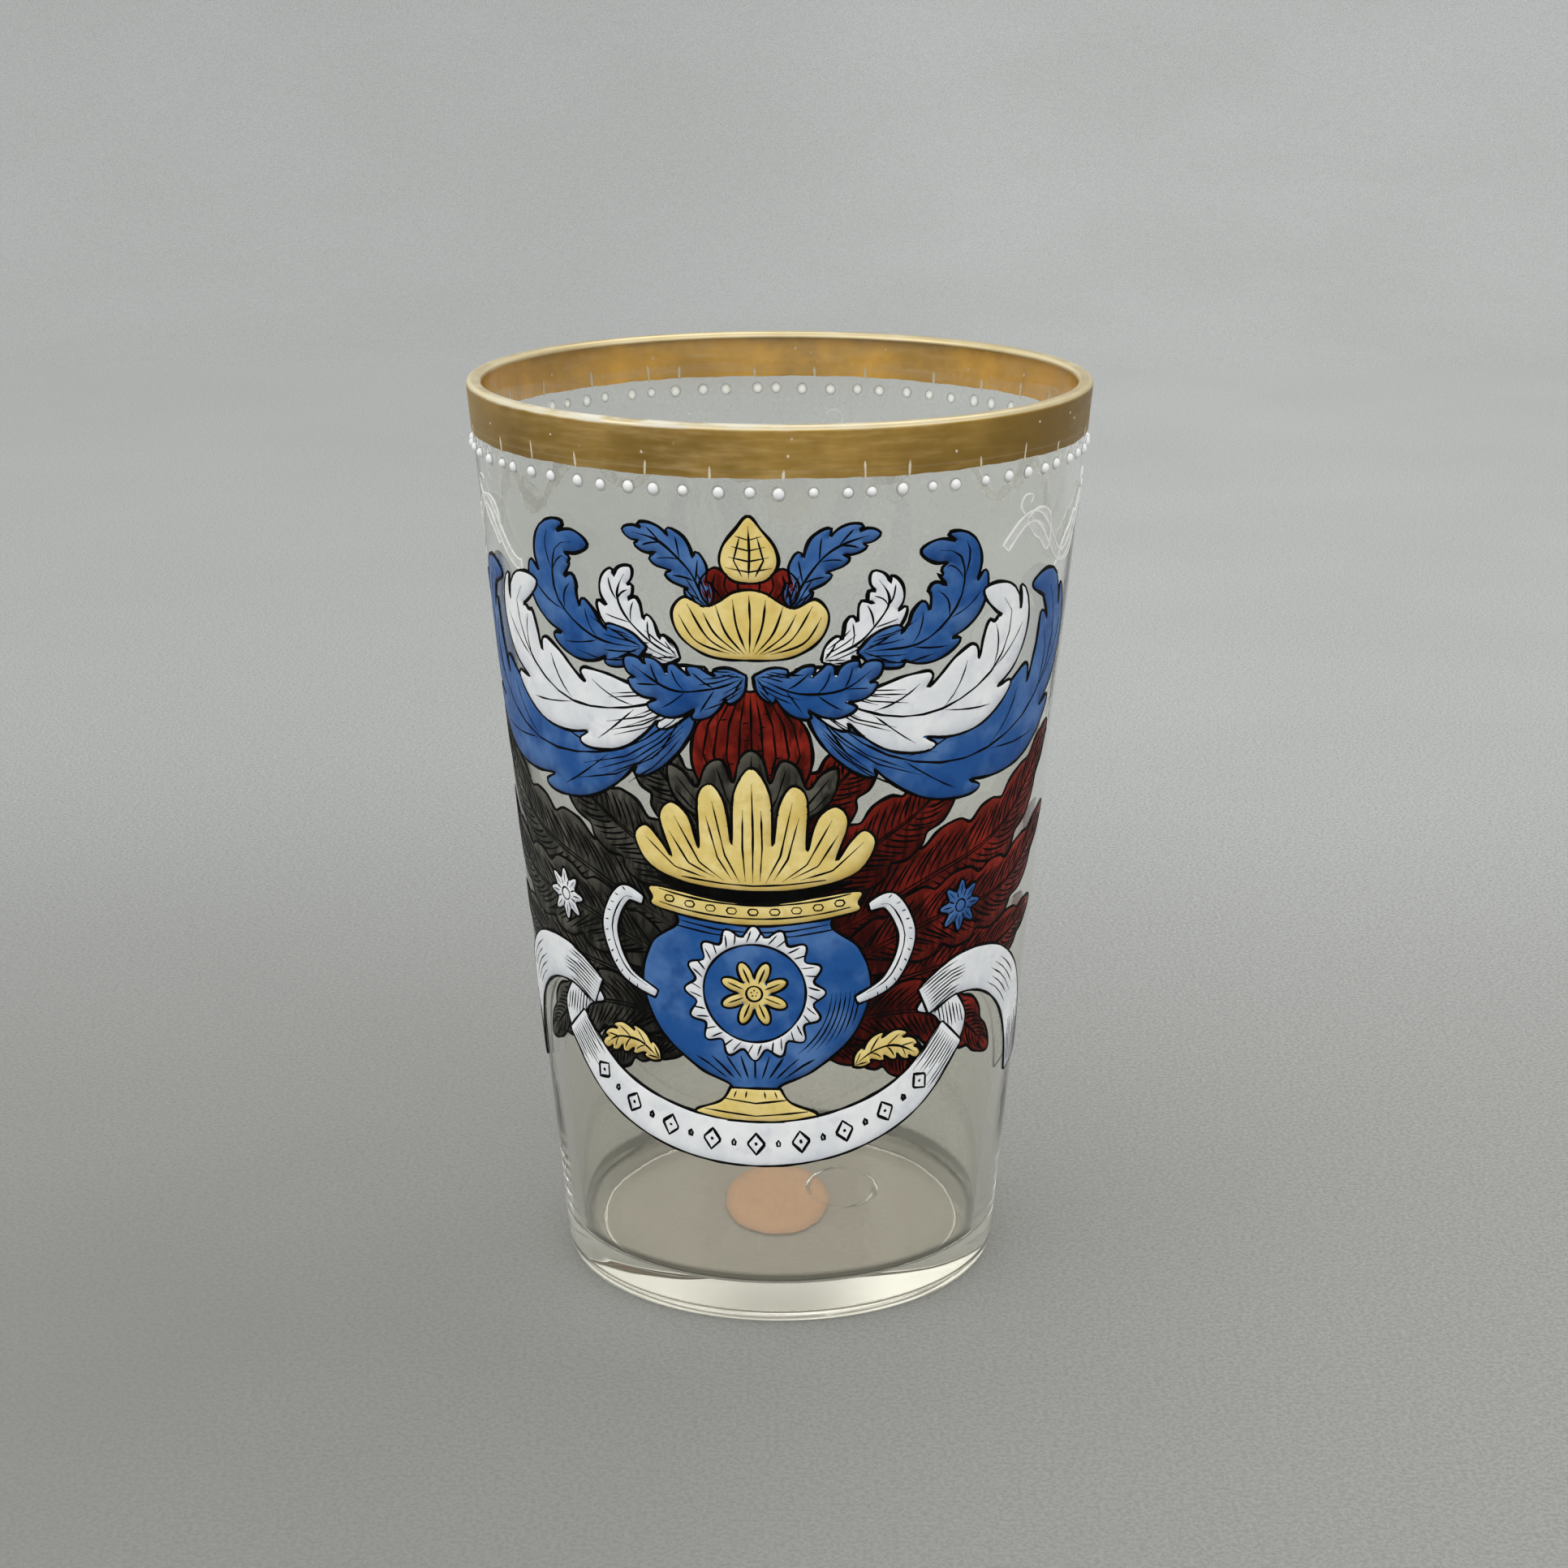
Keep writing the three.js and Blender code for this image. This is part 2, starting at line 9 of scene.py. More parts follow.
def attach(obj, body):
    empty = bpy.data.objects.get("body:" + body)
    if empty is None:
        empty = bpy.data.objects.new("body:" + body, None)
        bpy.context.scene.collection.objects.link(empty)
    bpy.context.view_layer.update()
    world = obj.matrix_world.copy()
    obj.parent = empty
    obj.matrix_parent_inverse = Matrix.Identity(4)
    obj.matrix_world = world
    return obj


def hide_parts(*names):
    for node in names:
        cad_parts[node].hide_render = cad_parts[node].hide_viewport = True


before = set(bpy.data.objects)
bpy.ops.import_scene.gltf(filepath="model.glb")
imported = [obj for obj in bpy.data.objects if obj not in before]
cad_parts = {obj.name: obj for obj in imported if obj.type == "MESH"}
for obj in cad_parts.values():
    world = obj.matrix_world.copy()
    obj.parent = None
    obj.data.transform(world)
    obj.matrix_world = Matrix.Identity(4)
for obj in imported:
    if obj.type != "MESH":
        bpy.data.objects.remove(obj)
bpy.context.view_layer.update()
scene = bpy.context.scene
MM = 0.001

# Glass, as in the solids
RIM_RADIUS = 40.15
FOOT_RADIUS = 29.3
RIM_WALL = 1.7
LIP_RADIUS = 0.6
FOOT_WALL = 2.4
HEEL_RADIUS = 0.7
BASE_THICKNESS = 4.6
FOOT_RECESS = 0.4
RECESS_RADIUS = 24.5
FLOOR_FILLET = 0.9
GLASS_TOP = 119.75
GILT_BOTTOM = 113.5
PEARL_HEIGHT = 111.76
PEARL_COUNT = 66
LIP_CENTRE = GLASS_TOP - LIP_RADIUS
FLOOR_HEIGHT = FOOT_RECESS + BASE_THICKNESS
SHEET_RADIUS = 35.0
DESIGN_TURN = -0.094
ROUND = 288


def wall_radius(z):
    return FOOT_RADIUS + (RIM_RADIUS - FOOT_RADIUS) * z / GLASS_TOP


def inner_radius(z):
    return wall_radius(z) - FOOT_WALL - (RIM_WALL - FOOT_WALL) * z / GLASS_TOP


def chance(seed):
    # A repeatable number from 0 to 1
    return sin(seed * 12.9898 + 4.137) * 43758.5453 % 1.0


def polar(r, a, z):
    # The point at a radius, an angle from the front and a height
    return (r * sin(a), -r * cos(a), z)


def smooth_step(x):
    x = min(1.0, max(0.0, x))
    return x * x * (3 - 2 * x)


def add_object(name, data):
    obj = bpy.data.objects.new(name, data)
    scene.collection.objects.link(obj)
    return obj


# Camera at the photograph's place
FOCAL_LENGTH = 67.72
CAMERA_PLACE = (0.00055, -0.3787, 0.1773)
CAMERA_TILT = 0.289

camera_data = bpy.data.cameras.new("camera")
camera_data.sensor_width = 36
camera_data.lens = FOCAL_LENGTH
camera_data.clip_start = 0.01
camera = add_object("camera", camera_data)
camera.location = CAMERA_PLACE
camera.rotation_euler = (pi / 2 - CAMERA_TILT, 0, 0)
scene.camera = camera

# Light paths long enough to leave the thick foot of the glass
scene.cycles.max_bounces = 40
scene.cycles.transmission_bounces = 40
scene.cycles.glossy_bounces = 16
scene.cycles.transparent_max_bounces = 24


# Materials
def new_material(name):
    mat = bpy.data.materials.new(name)
    mat.use_nodes = True
    mat.node_tree.nodes.clear()
    return mat


def put(mat, kind, values=None, **options):
    # A shader node with its options, and its inputs set to values or linked to sockets
    node = mat.node_tree.nodes.new("ShaderNode" + kind)
    for key, value in options.items():
        setattr(node, key, value)
    for key, value in (values or {}).items():
        socket = node.inputs[key]
        if isinstance(value, bpy.types.NodeSocket):
            mat.node_tree.links.new(value, socket)
        else:
            socket.default_value = (*value, 1) if socket.type == "RGBA" else value
    return node


def linear(r, g, b):
    # Colour from 0..255 display values to linear
    def one(c):
        c /= 255
        return c / 12.92 if c <= 0.04045 else ((c + 0.055) / 1.055) ** 2.4

    return (one(r), one(g), one(b))


def noise(mat, where, scale, detail=2.0, rough=0.5):
    values = {"Vector": where, "Scale": scale, "Detail": detail, "Roughness": rough}
    return put(mat, "TexNoise", values).outputs["Fac"]


def place(mat, stretch=(1, 1, 1)):
    # Object coordinates, stretched
    at = put(mat, "TexCoord").outputs["Object"]
    return put(mat, "Mapping", {"Vector": at, "Scale": stretch}).outputs[0]


def attribute(mat, name):
    return put(mat, "Attribute", attribute_name=name).outputs["Fac"]


def remap(mat, value, low, high, to_low=0.0, to_high=1.0):
    values = {"Value": value, "From Min": low, "From Max": high, "To Min": to_low, "To Max": to_high}
    return put(mat, "MapRange", values, interpolation_type="SMOOTHSTEP").outputs[0]


def calc(mat, operation, a, b):
    return put(mat, "Math", {0: a, 1: b}, operation=operation).outputs[0]


def blend(mat, factor, a, b):
    return put(mat, "Mix", {0: factor, 6: a, 7: b}, data_type="RGBA").outputs[2]


def ramp(mat, value, low, high, a, b, most=1.0):
    # From a to b, or most of the way to it, as the value goes from low to high
    return blend(mat, remap(mat, value, low, high, 0.0, most), a, b)


def bump(mat, height, strength, distance, normal=None):
    values = {"Height": height, "Strength": strength, "Distance": distance}
    if normal is not None:
        values["Normal"] = normal
    return put(mat, "Bump", values).outputs[0]


def surface(mat, shader):
    put(mat, "OutputMaterial", {"Surface": shader})
    return mat


def principled(mat, values):
    return surface(mat, put(mat, "BsdfPrincipled", values).outputs[0])


def glass_material():
    # Clear, faintly warm glass with slow waves and small seeds, painted shade round its floor and a
    # painted warm reflection on the floor; most light passes to its shadow
    mat = new_material("clear_glass")
    at = place(mat)
    waves = noise(mat, place(mat, (1, 1, 0.25)), 70, 1.0)
    seeds = noise(mat, at, 900, 1.0)
    height = put(mat, "SeparateXYZ", {0: at}).outputs["Z"]
    tint = blend(mat, noise(mat, at, 25), (0.95, 0.944, 0.887), (0.96, 0.953, 0.902))
    tint = ramp(mat, height, 0.03, 0.09, tint, (0.957, 0.958, 0.932))
    tint = blend(mat, remap(mat, height, 0.003, 0.008, 0.9, 0.0), tint, (0.9, 0.89, 0.79))
    # painted reflection: the floor of the glass, top and underside, is tinted warm as the label would
    # reflect in it
    tint = blend(mat, attribute(mat, "floor"), tint, (0.97, 0.915, 0.85))
    # painted shade: the inner corner round the floor and the edge of the floor are darkened; the ring mark
    # under the foot is darkened as grime
    tint = blend(mat, attribute(mat, "grime_and_shade"), tint, (0.12, 0.12, 0.1))
    seeds = calc(mat, "MULTIPLY", seeds, remap(mat, height, 0.005, 0.009))
    values = {
        "Base Color": tint, "Roughness": 0.0, "IOR": 1.5,
        "Transmission Weight": remap(mat, height, 0.0055, 0.0075, 0.967, 1.0),
        "Normal": bump(mat, waves, 0.25, 0.0006, bump(mat, seeds, 0.03, 0.0001)),
    }
    glass = put(mat, "BsdfPrincipled", values).outputs[0]
    shadow = put(mat, "LightPath").outputs["Is Shadow Ray"]
    near_ground = remap(mat, height, 0.0006, 0.003, 1.0, 0.0)
    heel = calc(mat, "SUBTRACT", near_ground, attribute(mat, "floor"))
    passed = blend(mat, heel, (0.965, 0.967, 0.955), (0.37, 0.37, 0.36))
    pale = put(mat, "BsdfTransparent", {"Color": passed}).outputs[0]
    return surface(mat, put(mat, "MixShader", {0: shadow, 1: glass, 2: pale}).outputs[0])


def gilt(name, dark, light, glow, worn, wear_low, rough, fine_line):
    # Burnished and rubbed gold: streaks round the rim, mottling, worn places, a scribed line and painted
    # shade towards the sides of the band
    mat = new_material(name)
    at = place(mat)
    streak = noise(mat, place(mat, (1, 1, 7)), 160, 3.0, 0.6)
    mottle = noise(mat, at, 70, 4.0, 0.6)
    grain = noise(mat, at, 2600, 2.0)
    base = ramp(mat, mottle, 0.32, 0.7, dark, light)
    base = ramp(mat, streak, 0.45, 0.85, base, glow, 0.6)
    # painted shade: the band darker where it turns away on each side, most on the right front
    base = blend(mat, attribute(mat, "side_shade"), base, tuple(0.55 * c for c in dark))
    rub = calc(mat, "MULTIPLY", attribute(mat, "wear"), remap(mat, streak, 0.3, 0.62))
    spots = remap(mat, noise(mat, at, 520, 1.0), wear_low, wear_low + 0.05)
    rub = calc(mat, "MAXIMUM", rub, calc(mat, "MULTIPLY", spots, attribute(mat, "spots")))
    line = calc(mat, "MULTIPLY", attribute(mat, "line"), fine_line)
    base = blend(mat, line, base, worn)
    base = blend(mat, rub, base, worn)
    values = {
        "Base Color": base,
        "Metallic": remap(mat, rub, 0.0, 1.0, 0.9, 0.0),
        "Roughness": remap(mat, streak, 0.2, 0.8, rough - 0.08, rough + 0.1),
        "Normal": bump(mat, grain, 0.12, 0.00004, bump(mat, streak, 0.1, 0.00006)),
    }
    return principled(mat, values)


def enamel(name, main, light, deep, shade, cloud=190, streaks=0.0, rough=0.3, gloss=0.14):
    # Fired enamel: clouded colour, thinner and paler edges, painted shading and an uneven skin
    main, light, deep, shade = (linear(*colour) for colour in (main, light, deep, shade))
    mat = new_material(name)
    at = place(mat)
    clouds = noise(mat, at, cloud, 3.0, 0.55)
    fine = noise(mat, at, 1500, 2.0)
    base = ramp(mat, clouds, 0.38, 0.72, main, light)
    base = ramp(mat, noise(mat, at, cloud * 2.3, 2.0), 0.5, 0.75, base, deep, 0.5)
    if streaks:
        lines = noise(mat, place(mat, (1, 1, 0.3)), 900, 2.0, 0.6)
        base = ramp(mat, lines, 0.45, 0.62, base, shade, streaks)
    base = blend(mat, attribute(mat, "light"), base, light)
    base = blend(mat, attribute(mat, "shade"), base, shade)
    values = {
        "Base Color": base,
        "Roughness": remap(mat, fine, 0.3, 0.7, rough - 0.06, rough + 0.12),
        "Specular IOR Level": gloss,
        "Normal": bump(mat, fine, 0.1, 0.00005, bump(mat, clouds, 0.1, 0.0001)),
    }
    return principled(mat, values)


def veil(name, patches, thin, thick, clouds, light, dark, rough):
    # Thin enamel, or the grey ring round a bead that is painted shadow: the glass shows through it
    mat = new_material(name)
    at = place(mat)
    body = remap(mat, noise(mat, at, *patches), 0.3, 0.7, thin, thick)
    tone = blend(mat, noise(mat, at, clouds), linear(*light), linear(*dark))
    return principled(mat, {"Base Color": tone, "Roughness": rough, "Alpha": body})


def bead_glow_material():
    # The back of a bead, with a painted glow that is brightest at its centre and stands in for light
    # through the milky enamel
    mat = new_material("bead_back_glow")
    tone = blend(mat, noise(mat, place(mat), 700), linear(246, 246, 244), linear(234, 235, 232))
    # painted light: the glow is strongest at the centre of the bead's back
    glow_strength = remap(mat, attribute(mat, "glow_core"), 0.0, 0.8, 0.04, 0.34)
    values = {"Base Color": tone, "Roughness": 0.35, "Emission Color": tone, "Emission Strength": glow_strength}
    return principled(mat, values)


def paper_material():
    # Aged peach paper with fibres, glued spots and darker edges
    mat = new_material("peach_paper")
    at = place(mat)
    fibre = noise(mat, place(mat, (1, 0.25, 1)), 2400, 4.0, 0.7)
    stain = noise(mat, at, 260, 3.0)
    base = ramp(mat, fibre, 0.3, 0.7, linear(190, 142, 98), linear(202, 158, 114))
    base = ramp(mat, stain, 0.5, 0.75, base, linear(180, 132, 92), 0.5)
    base = blend(mat, attribute(mat, "shade"), base, linear(156, 116, 84))
    values = {"Base Color": base, "Roughness": 0.9, "Normal": bump(mat, fibre, 0.3, 0.00006)}
    return principled(mat, values)


def floor_material():
    # Matt grey studio paper, finely grained, with painted shading: darker at the front and on the left,
    # paler towards the back
    mat = new_material("studio_paper")
    at = place(mat)
    grain = noise(mat, at, 1700, 3.0, 0.75)
    cloud = noise(mat, at, 9, 2.0)
    x, y, z = put(mat, "SeparateXYZ", {0: put(mat, "TexCoord").outputs["Object"]}).outputs
    # painted shading: the floor colour changes with place, darker near and on the left, paler far
    depth = remap(mat, y, -0.04, 0.3)
    side = remap(mat, x, -0.1, 0.12)
    near = blend(mat, side, linear(132, 132, 128), linear(156, 156, 153))
    far = blend(mat, side, linear(170, 173, 172), linear(180, 183, 182))
    base = blend(mat, depth, near, far)
    base = ramp(mat, cloud, 0.3, 0.7, base, linear(160, 162, 160), 0.25)
    base = ramp(mat, grain, 0.36, 0.66, base, linear(118, 118, 116), 0.55)
    normal = bump(mat, grain, 0.35, 0.0001)
    return principled(mat, {"Base Color": base, "Roughness": 0.95, "Normal": normal})


GLASS = glass_material()
GILT_OUT = gilt(
    "gilding", (0.4, 0.24, 0.055), (0.68, 0.42, 0.1), (0.82, 0.55, 0.19),
    linear(226, 218, 196), 0.75, 0.42, 0.12,
)
# A paler copy of the gold for the lip bead: a painted highlight
GILT_LIP_LIT = gilt(
    "gilding_lip_highlight", (0.6, 0.48, 0.25), (0.7, 0.6, 0.37), (0.76, 0.7, 0.54),
    linear(222, 218, 202), 0.8, 0.38, 0.0,
)
GILT_IN = gilt(
    "gilding_behind_glass", (0.5, 0.3, 0.08), (0.9, 0.52, 0.1), (0.74, 0.54, 0.28),
    linear(196, 186, 178), 0.78, 0.5, 0.12,
)
PEARL = enamel(
    "pearl_enamel", (244, 245, 246), (250, 250, 250), (236, 238, 240), (200, 203, 208),
    rough=0.22, gloss=0.45,
)
BLUE = enamel(
    "blue_enamel", (36, 86, 152), (86, 126, 182), (18, 60, 126), (10, 28, 72), 150, gloss=0.11
)
WHITE = enamel(
    "white_enamel", (234, 237, 240), (250, 251, 252), (212, 217, 227), (160, 166, 180), 210
)
YELLOW = enamel(
    "yellow_enamel", (232, 206, 120), (248, 228, 158), (216, 182, 90), (148, 112, 40), 260
)
RED = enamel(
    "red_enamel", (94, 22, 15), (150, 42, 30), (50, 12, 10), (10, 4, 4), 240, 0.65, gloss=0.07
)
GREY = enamel(
    "grey_enamel", (60, 59, 53), (104, 102, 92), (28, 28, 26), (4, 4, 4), 240, 0.65, gloss=0.06
)
BLACK = enamel(
    "black_line", (9, 9, 9), (18, 18, 17), (6, 6, 6), (4, 4, 4), 400, rough=0.38, gloss=0.03
)
LINE_WHITE = enamel(
    "white_line", (232, 233, 230), (240, 240, 238), (218, 219, 216), (190, 192, 190), 400
)
WORN = enamel(
    "worn_enamel", (214, 203, 178), (226, 218, 198), (196, 182, 150), (176, 160, 128), 500
)
THIN = veil(
    "thin_white_enamel", (700, 3.0, 0.6), 0.45, 0.9, 300, (232, 232, 228), (214, 216, 214), 0.4
)
# A grey ring round each pearl: painted shadow
BEAD_SHADOW = veil("bead_shadow_ring", (900, 2.0), 0.08, 0.24, 500, (96, 96, 90), (126, 126, 118), 0.3)
BEAD_GLOW = bead_glow_material()
PAPER = paper_material()


# Meshes
def add_mesh(name, bm, materials):
    mesh = bpy.data.meshes.new(name)
    bm.to_mesh(mesh)
    bm.free()
    for mat in materials:
        mesh.materials.append(mat)
    mesh.polygons.foreach_set("use_smooth", [True] * len(mesh.polygons))
    return add_object(name, mesh)


def finish(name, bm, materials, nodes=(), sharp=50):
    # A piece in metres that rides on the vessel and stands for the solids that are named
    bmesh.ops.recalc_face_normals(bm, faces=bm.faces)
    bmesh.ops.scale(bm, vec=(MM, MM, MM), verts=bm.verts)
    obj = add_mesh(name, bm, materials)
    if sharp:
        obj.data.set_sharp_from_angle(angle=radians(sharp))
    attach(obj, "root")
    if nodes:
        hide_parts(*nodes)


def layers(bm, *names):
    # New vertex layers, all made before any is fetched
    for name in names:
        bm.verts.layers.float.new(name)
    return [bm.verts.layers.float[name] for name in names]


def add_faces(bm, verts, faces):
    for face in faces:
        bm.faces.new([verts[i] for i in face])


def band(bm, a, b, count, slot=0):
    # Faces between two rings, either of which may be a single point
    for i in range(count):
        j = (i + 1) % count
        corners = (a[i % len(a)], a[j % len(a)], b[j % len(b)], b[i % len(b)])
        bm.faces.new(list(dict.fromkeys(corners))).material_index = slot


def lathe(bm, profile, lift, closed=False, slots=None):
    # A body of revolution; lift raises a point by its angle and place on the profile
    rings = []
    for k, (r, z) in enumerate(profile):
        ring = []
        for i in range(1 if r < 1e-6 else ROUND):
            a = 2 * pi * i / ROUND
            ring.append(bm.verts.new(polar(r, a, z + lift(k, a, r, z))))
        rings.append(ring)
    pairs = list(zip(rings, rings[1:])) + ([(rings[-1], rings[0])] if closed else [])
    for k, (a, b) in enumerate(pairs):
        band(bm, a, b, ROUND, slots[k] if slots else 0)
    return rings


def arc(r, z, radius, start, end, steps):
    points = []
    for i in range(steps + 1):
        a = radians(start + (end - start) * i / steps)
        points.append((r + radius * cos(a), z + radius * sin(a)))
    return points


# The lip from outside to inside, moved out from the glass by a gap
def lip_profile(gap, start=0, end=180, steps=9):
    outer = wall_radius(LIP_CENTRE) - LIP_RADIUS
    inner = inner_radius(LIP_CENTRE) + LIP_RADIUS
    far = LIP_RADIUS + gap
    return arc(outer, LIP_CENTRE, far, start, 90, steps) + arc(inner, LIP_CENTRE, far, 90, end, steps)


# The glass, with a ring-shaped mark pressed into its underside
RING_MARK = (8.8, 6.0)
RING_MARK_DEPTH = 0.2
UNDER_STEP = 0.22
WALL_HEIGHTS = (16, 30, 50, 70, 90, 105, 114)


def glass_body():
    centre = FLOOR_HEIGHT + FLOOR_FILLET
    floor_radius = inner_radius(centre) - FLOOR_FILLET
    profile = [(UNDER_STEP * i, FOOT_RECESS) for i in range(100)] + [(RECESS_RADIUS - 0.3, FOOT_RECESS)]
    last_under = len(profile) - 1
    profile += arc(RECESS_RADIUS - 0.2, FOOT_RECESS - 0.15, 0.15, 90, 0, 4)
    profile += [(RECESS_RADIUS + 0.1, 0.14), (RECESS_RADIUS + 0.2, 0.04), (RECESS_RADIUS + 0.4, 0.0)]
    profile += [(27.0, 0.0)]
    profile += arc(wall_radius(HEEL_RADIUS) - HEEL_RADIUS, HEEL_RADIUS, HEEL_RADIUS, -90, -5, 12)
    profile += [(wall_radius(z), z) for z in (4, 8) + WALL_HEIGHTS]
    profile += lip_profile(0)
    profile += [(inner_radius(z), z) for z in WALL_HEIGHTS[::-1] + (10, centre + 1, centre + 0.4)]
    profile += arc(floor_radius, centre, FLOOR_FILLET, 0, -90, 10)
    first_floor = len(profile)
    profile += [(floor_radius * f, FLOOR_HEIGHT) for f in (0.97, 0.93, 0.87, 0.8, 0.7, 0.55, 0.4, 0.2, 0)]

    def ring_mark(x, y):
        x, y = x - RING_MARK[0], y - RING_MARK[1]
        d = hypot(x / 4.8, y / 6.6)
        around = 0.6 + 0.4 * sin(2 * atan2(y, x) + 2.2)
        return around * exp(-(((d - 1) * 5.5 / 0.38) ** 2))

    def mark(k, a, r, z):
        return RING_MARK_DEPTH * ring_mark(*polar(r, a, z)[:2]) if k < last_under else 0

    bm = bmesh.new()
    grime_and_shade, floor = layers(bm, "grime_and_shade", "floor")
    # Painted shade darkens the inner corner round the floor and the floor's edge; the ring mark under the
    # foot is darkened as grime
    for k, ring in enumerate(lathe(bm, profile, mark)):
        under = k < last_under
        for v in ring:
            if under:
                v[grime_and_shade] = 0.6 * ring_mark(v.co.x, v.co.y)
            elif k < first_floor:
                v[grime_and_shade] = float(k >= first_floor - 12)
            else:
                v[grime_and_shade] = 0.16 * exp((profile[k][0] - floor_radius) / 3)
            v[floor] = float(under or k >= first_floor)
    finish("glass_vessel", bm, [GLASS], ["glass_body"], sharp=0)


# The gilding: outer band, lip bead and an inner face that is seen through the glass
GILT_OUTSIDE = 0.085
GILT_INSIDE = 0.03
SCRIBED_LINE = 114.4


def gilding():
    bands = (GILT_BOTTOM, 113.8, 114.2, SCRIBED_LINE, 114.6, 115.4, 116.6, 117.8, LIP_CENTRE - 0.1)
    outer = [(wall_radius(z) + GILT_OUTSIDE, z) for z in bands]
    lip = lip_profile(GILT_OUTSIDE, 12, 188)
    inner = lip_profile(GILT_INSIDE, 0, 190)[::-1]
    bands = (117.8, 116.6, 115.4, SCRIBED_LINE, 113.9, GILT_BOTTOM + 0.02)
    inner += [(wall_radius(z) + GILT_INSIDE, z) for z in bands]
    profile = outer + lip + inner
    slots = [0] * len(outer) + [1] * (len(lip) - 1) + [2] * (len(inner) + 1)

    def ragged(k, a, r, z):
        wave = 0.05 * sin(9 * a + 1) + 0.04 * sin(31 * a) + 0.03 * sin(83 * a + 2)
        return wave if z <= 113.6 else 0

    bm = bmesh.new()
    wear, spots, line, side_shade = layers(bm, "wear", "spots", "line", "side_shade")
    for k, ring in enumerate(lathe(bm, profile, ragged, True, slots)):
        z = profile[k][1]
        on_lip = len(outer) <= k < len(outer) + len(lip)
        for i, v in enumerate(ring):
            a = 2 * pi * i / ROUND
            front = max(0.0, cos(a + 0.45)) ** 4
            v[wear] = min(1.0, 0.95 * front) if on_lip else 0.08 * front
            v[spots] = 0.9 if 114.6 < z < 118.2 else 0.0
            v[line] = 1.0 if abs(z - SCRIBED_LINE) < 0.01 else 0.0
            # Painted shade: darker towards the sides of the band, most on the right front, none at the
            # middle front or at the back
            around = degrees(atan2(sin(a), cos(a)))
            turned_away_shade = 0.8 * smooth_step((around - 12) / 45) + 0.42 * smooth_step((-around - 15) / 40)
            turned_away_shade *= smooth_step((170 - abs(around)) / 70)
            v[side_shade] = turned_away_shade if k < len(outer) else 0.0
    finish("gilt_band", bm, [GILT_OUT, GILT_LIP_LIT, GILT_IN], ["gilt_rim_band"])


def on_wall(u, v, out):
    angle = DESIGN_TURN + u / SHEET_RADIUS
    r = wall_radius(v) + out
    return polar(r, angle, v)


# The pearls, each set by hand, so none is quite like the next
BEAD_GAP = 0.012
BEAD_SIDES = 12
BEAD_SHAPE = (
    (1.0, 0.0), (1.4, 0.0), (1.28, 0.05), (1.02, 0.1), (1.0, 0.3), (0.88, 0.55), (0.65, 0.8), (0.34, 0.95)
)


def bead(bm, glow_core, angle, size, tall, height, relief):
    # A dome with a grey ring round it that is painted shadow, and a back of its own
    def spot(side, up, out):
        radius = wall_radius(height + up) + BEAD_GAP + relief * out
        return bm.verts.new(polar(radius, angle + side / radius, height + up))

    turns = [2 * pi * j / BEAD_SIDES for j in range(BEAD_SIDES)]
    rings = [[spot(size * r * cos(t), tall * r * sin(t), out) for t in turns] for r, out in BEAD_SHAPE]
    rings.append([spot(0, 0, 1)])
    root = spot(0, 0, 0)
    # The centre of the back glows most: painted light
    root[glow_core] = 1.0
    for level, (a, b) in enumerate(zip(rings, rings[1:])):
        band(bm, a, b, BEAD_SIDES, int(level < 3))
    for a, b in zip(rings[0][1:] + rings[0][:1], rings[0]):
        bm.faces.new((a, b, root)).material_index = 2


def pearl_row():
    bm = bmesh.new()
    glow_core = layers(bm, "glow_core")[0]
    for i in range(PEARL_COUNT):
        angle = 2 * pi * (i + 0.32 * (chance(i) - 0.5)) / PEARL_COUNT
        size = 0.6 + 0.13 * (chance(i + 90) - 0.5)
        tall = size * (1.02 + 0.14 * (chance(i + 40) - 0.5))
        height = PEARL_HEIGHT + 0.2 * (chance(i + 200) - 0.5)
        bead(bm, glow_core, angle, size, tall, height, 0.5 + 0.12 * chance(i + 300))
    finish("pearl_beads", bm, [PEARL, BEAD_SHADOW, BEAD_GLOW], ["pearl_row"])


# Curves on the flat sheet, as in the solids but finer
def mirror(points):
    return [(-u, v) for u, v in points][::-1]


def mirrored(half, steps=8):
    # A closed shape from its right half
    return spline(list(half) + mirror(half)[1:-1], steps, True)


def flip(points, side):
    return [(u * side, v) for u, v in points]


def spline(points, steps, closed=False):
    n = len(points)
    out = []
    for i in range(n if closed else n - 1):
        if closed:
            a, b, c, d = (points[(i + k) % n] for k in (-1, 0, 1, 2))
        else:
            a, b, c, d = (points[min(max(i + k, 0), n - 1)] for k in (-1, 0, 1, 2))
        for j in range(steps):
            t = j / steps
            spot = []
            for p, q, r, s in zip(a, b, c, d):
                curve = (2 * p - 5 * q + 4 * r - s) * t * t + (3 * q - p - 3 * r + s) * t * t * t
                spot.append(0.5 * (2 * q + (r - p) * t + curve))
            out.append(tuple(spot))
    if not closed:
        out.append(tuple(points[-1]))
    return out


def even_steps(path, count):
    path = np.array(path, float)
    lengths = np.concatenate([[0], np.cumsum(np.hypot(*np.diff(path, axis=0).T))])
    want = np.linspace(0, lengths[-1], count + 1)
    return np.stack([np.interp(want, lengths, path[:, k]) for k in (0, 1)], 1)


def left_hand(path, closed=False):
    # The direction to the left at each point of a path
    path = np.array(path, float)
    ahead = np.roll(path, -1, 0)
    behind = np.roll(path, 1, 0)
    if not closed:
        ahead[-1] = path[-1]
        behind[0] = path[0]
    run = ahead - behind
    run /= np.maximum(np.hypot(*run.T), 1e-9)[:, None]
    return np.stack([-run[:, 1], run[:, 0]], 1)


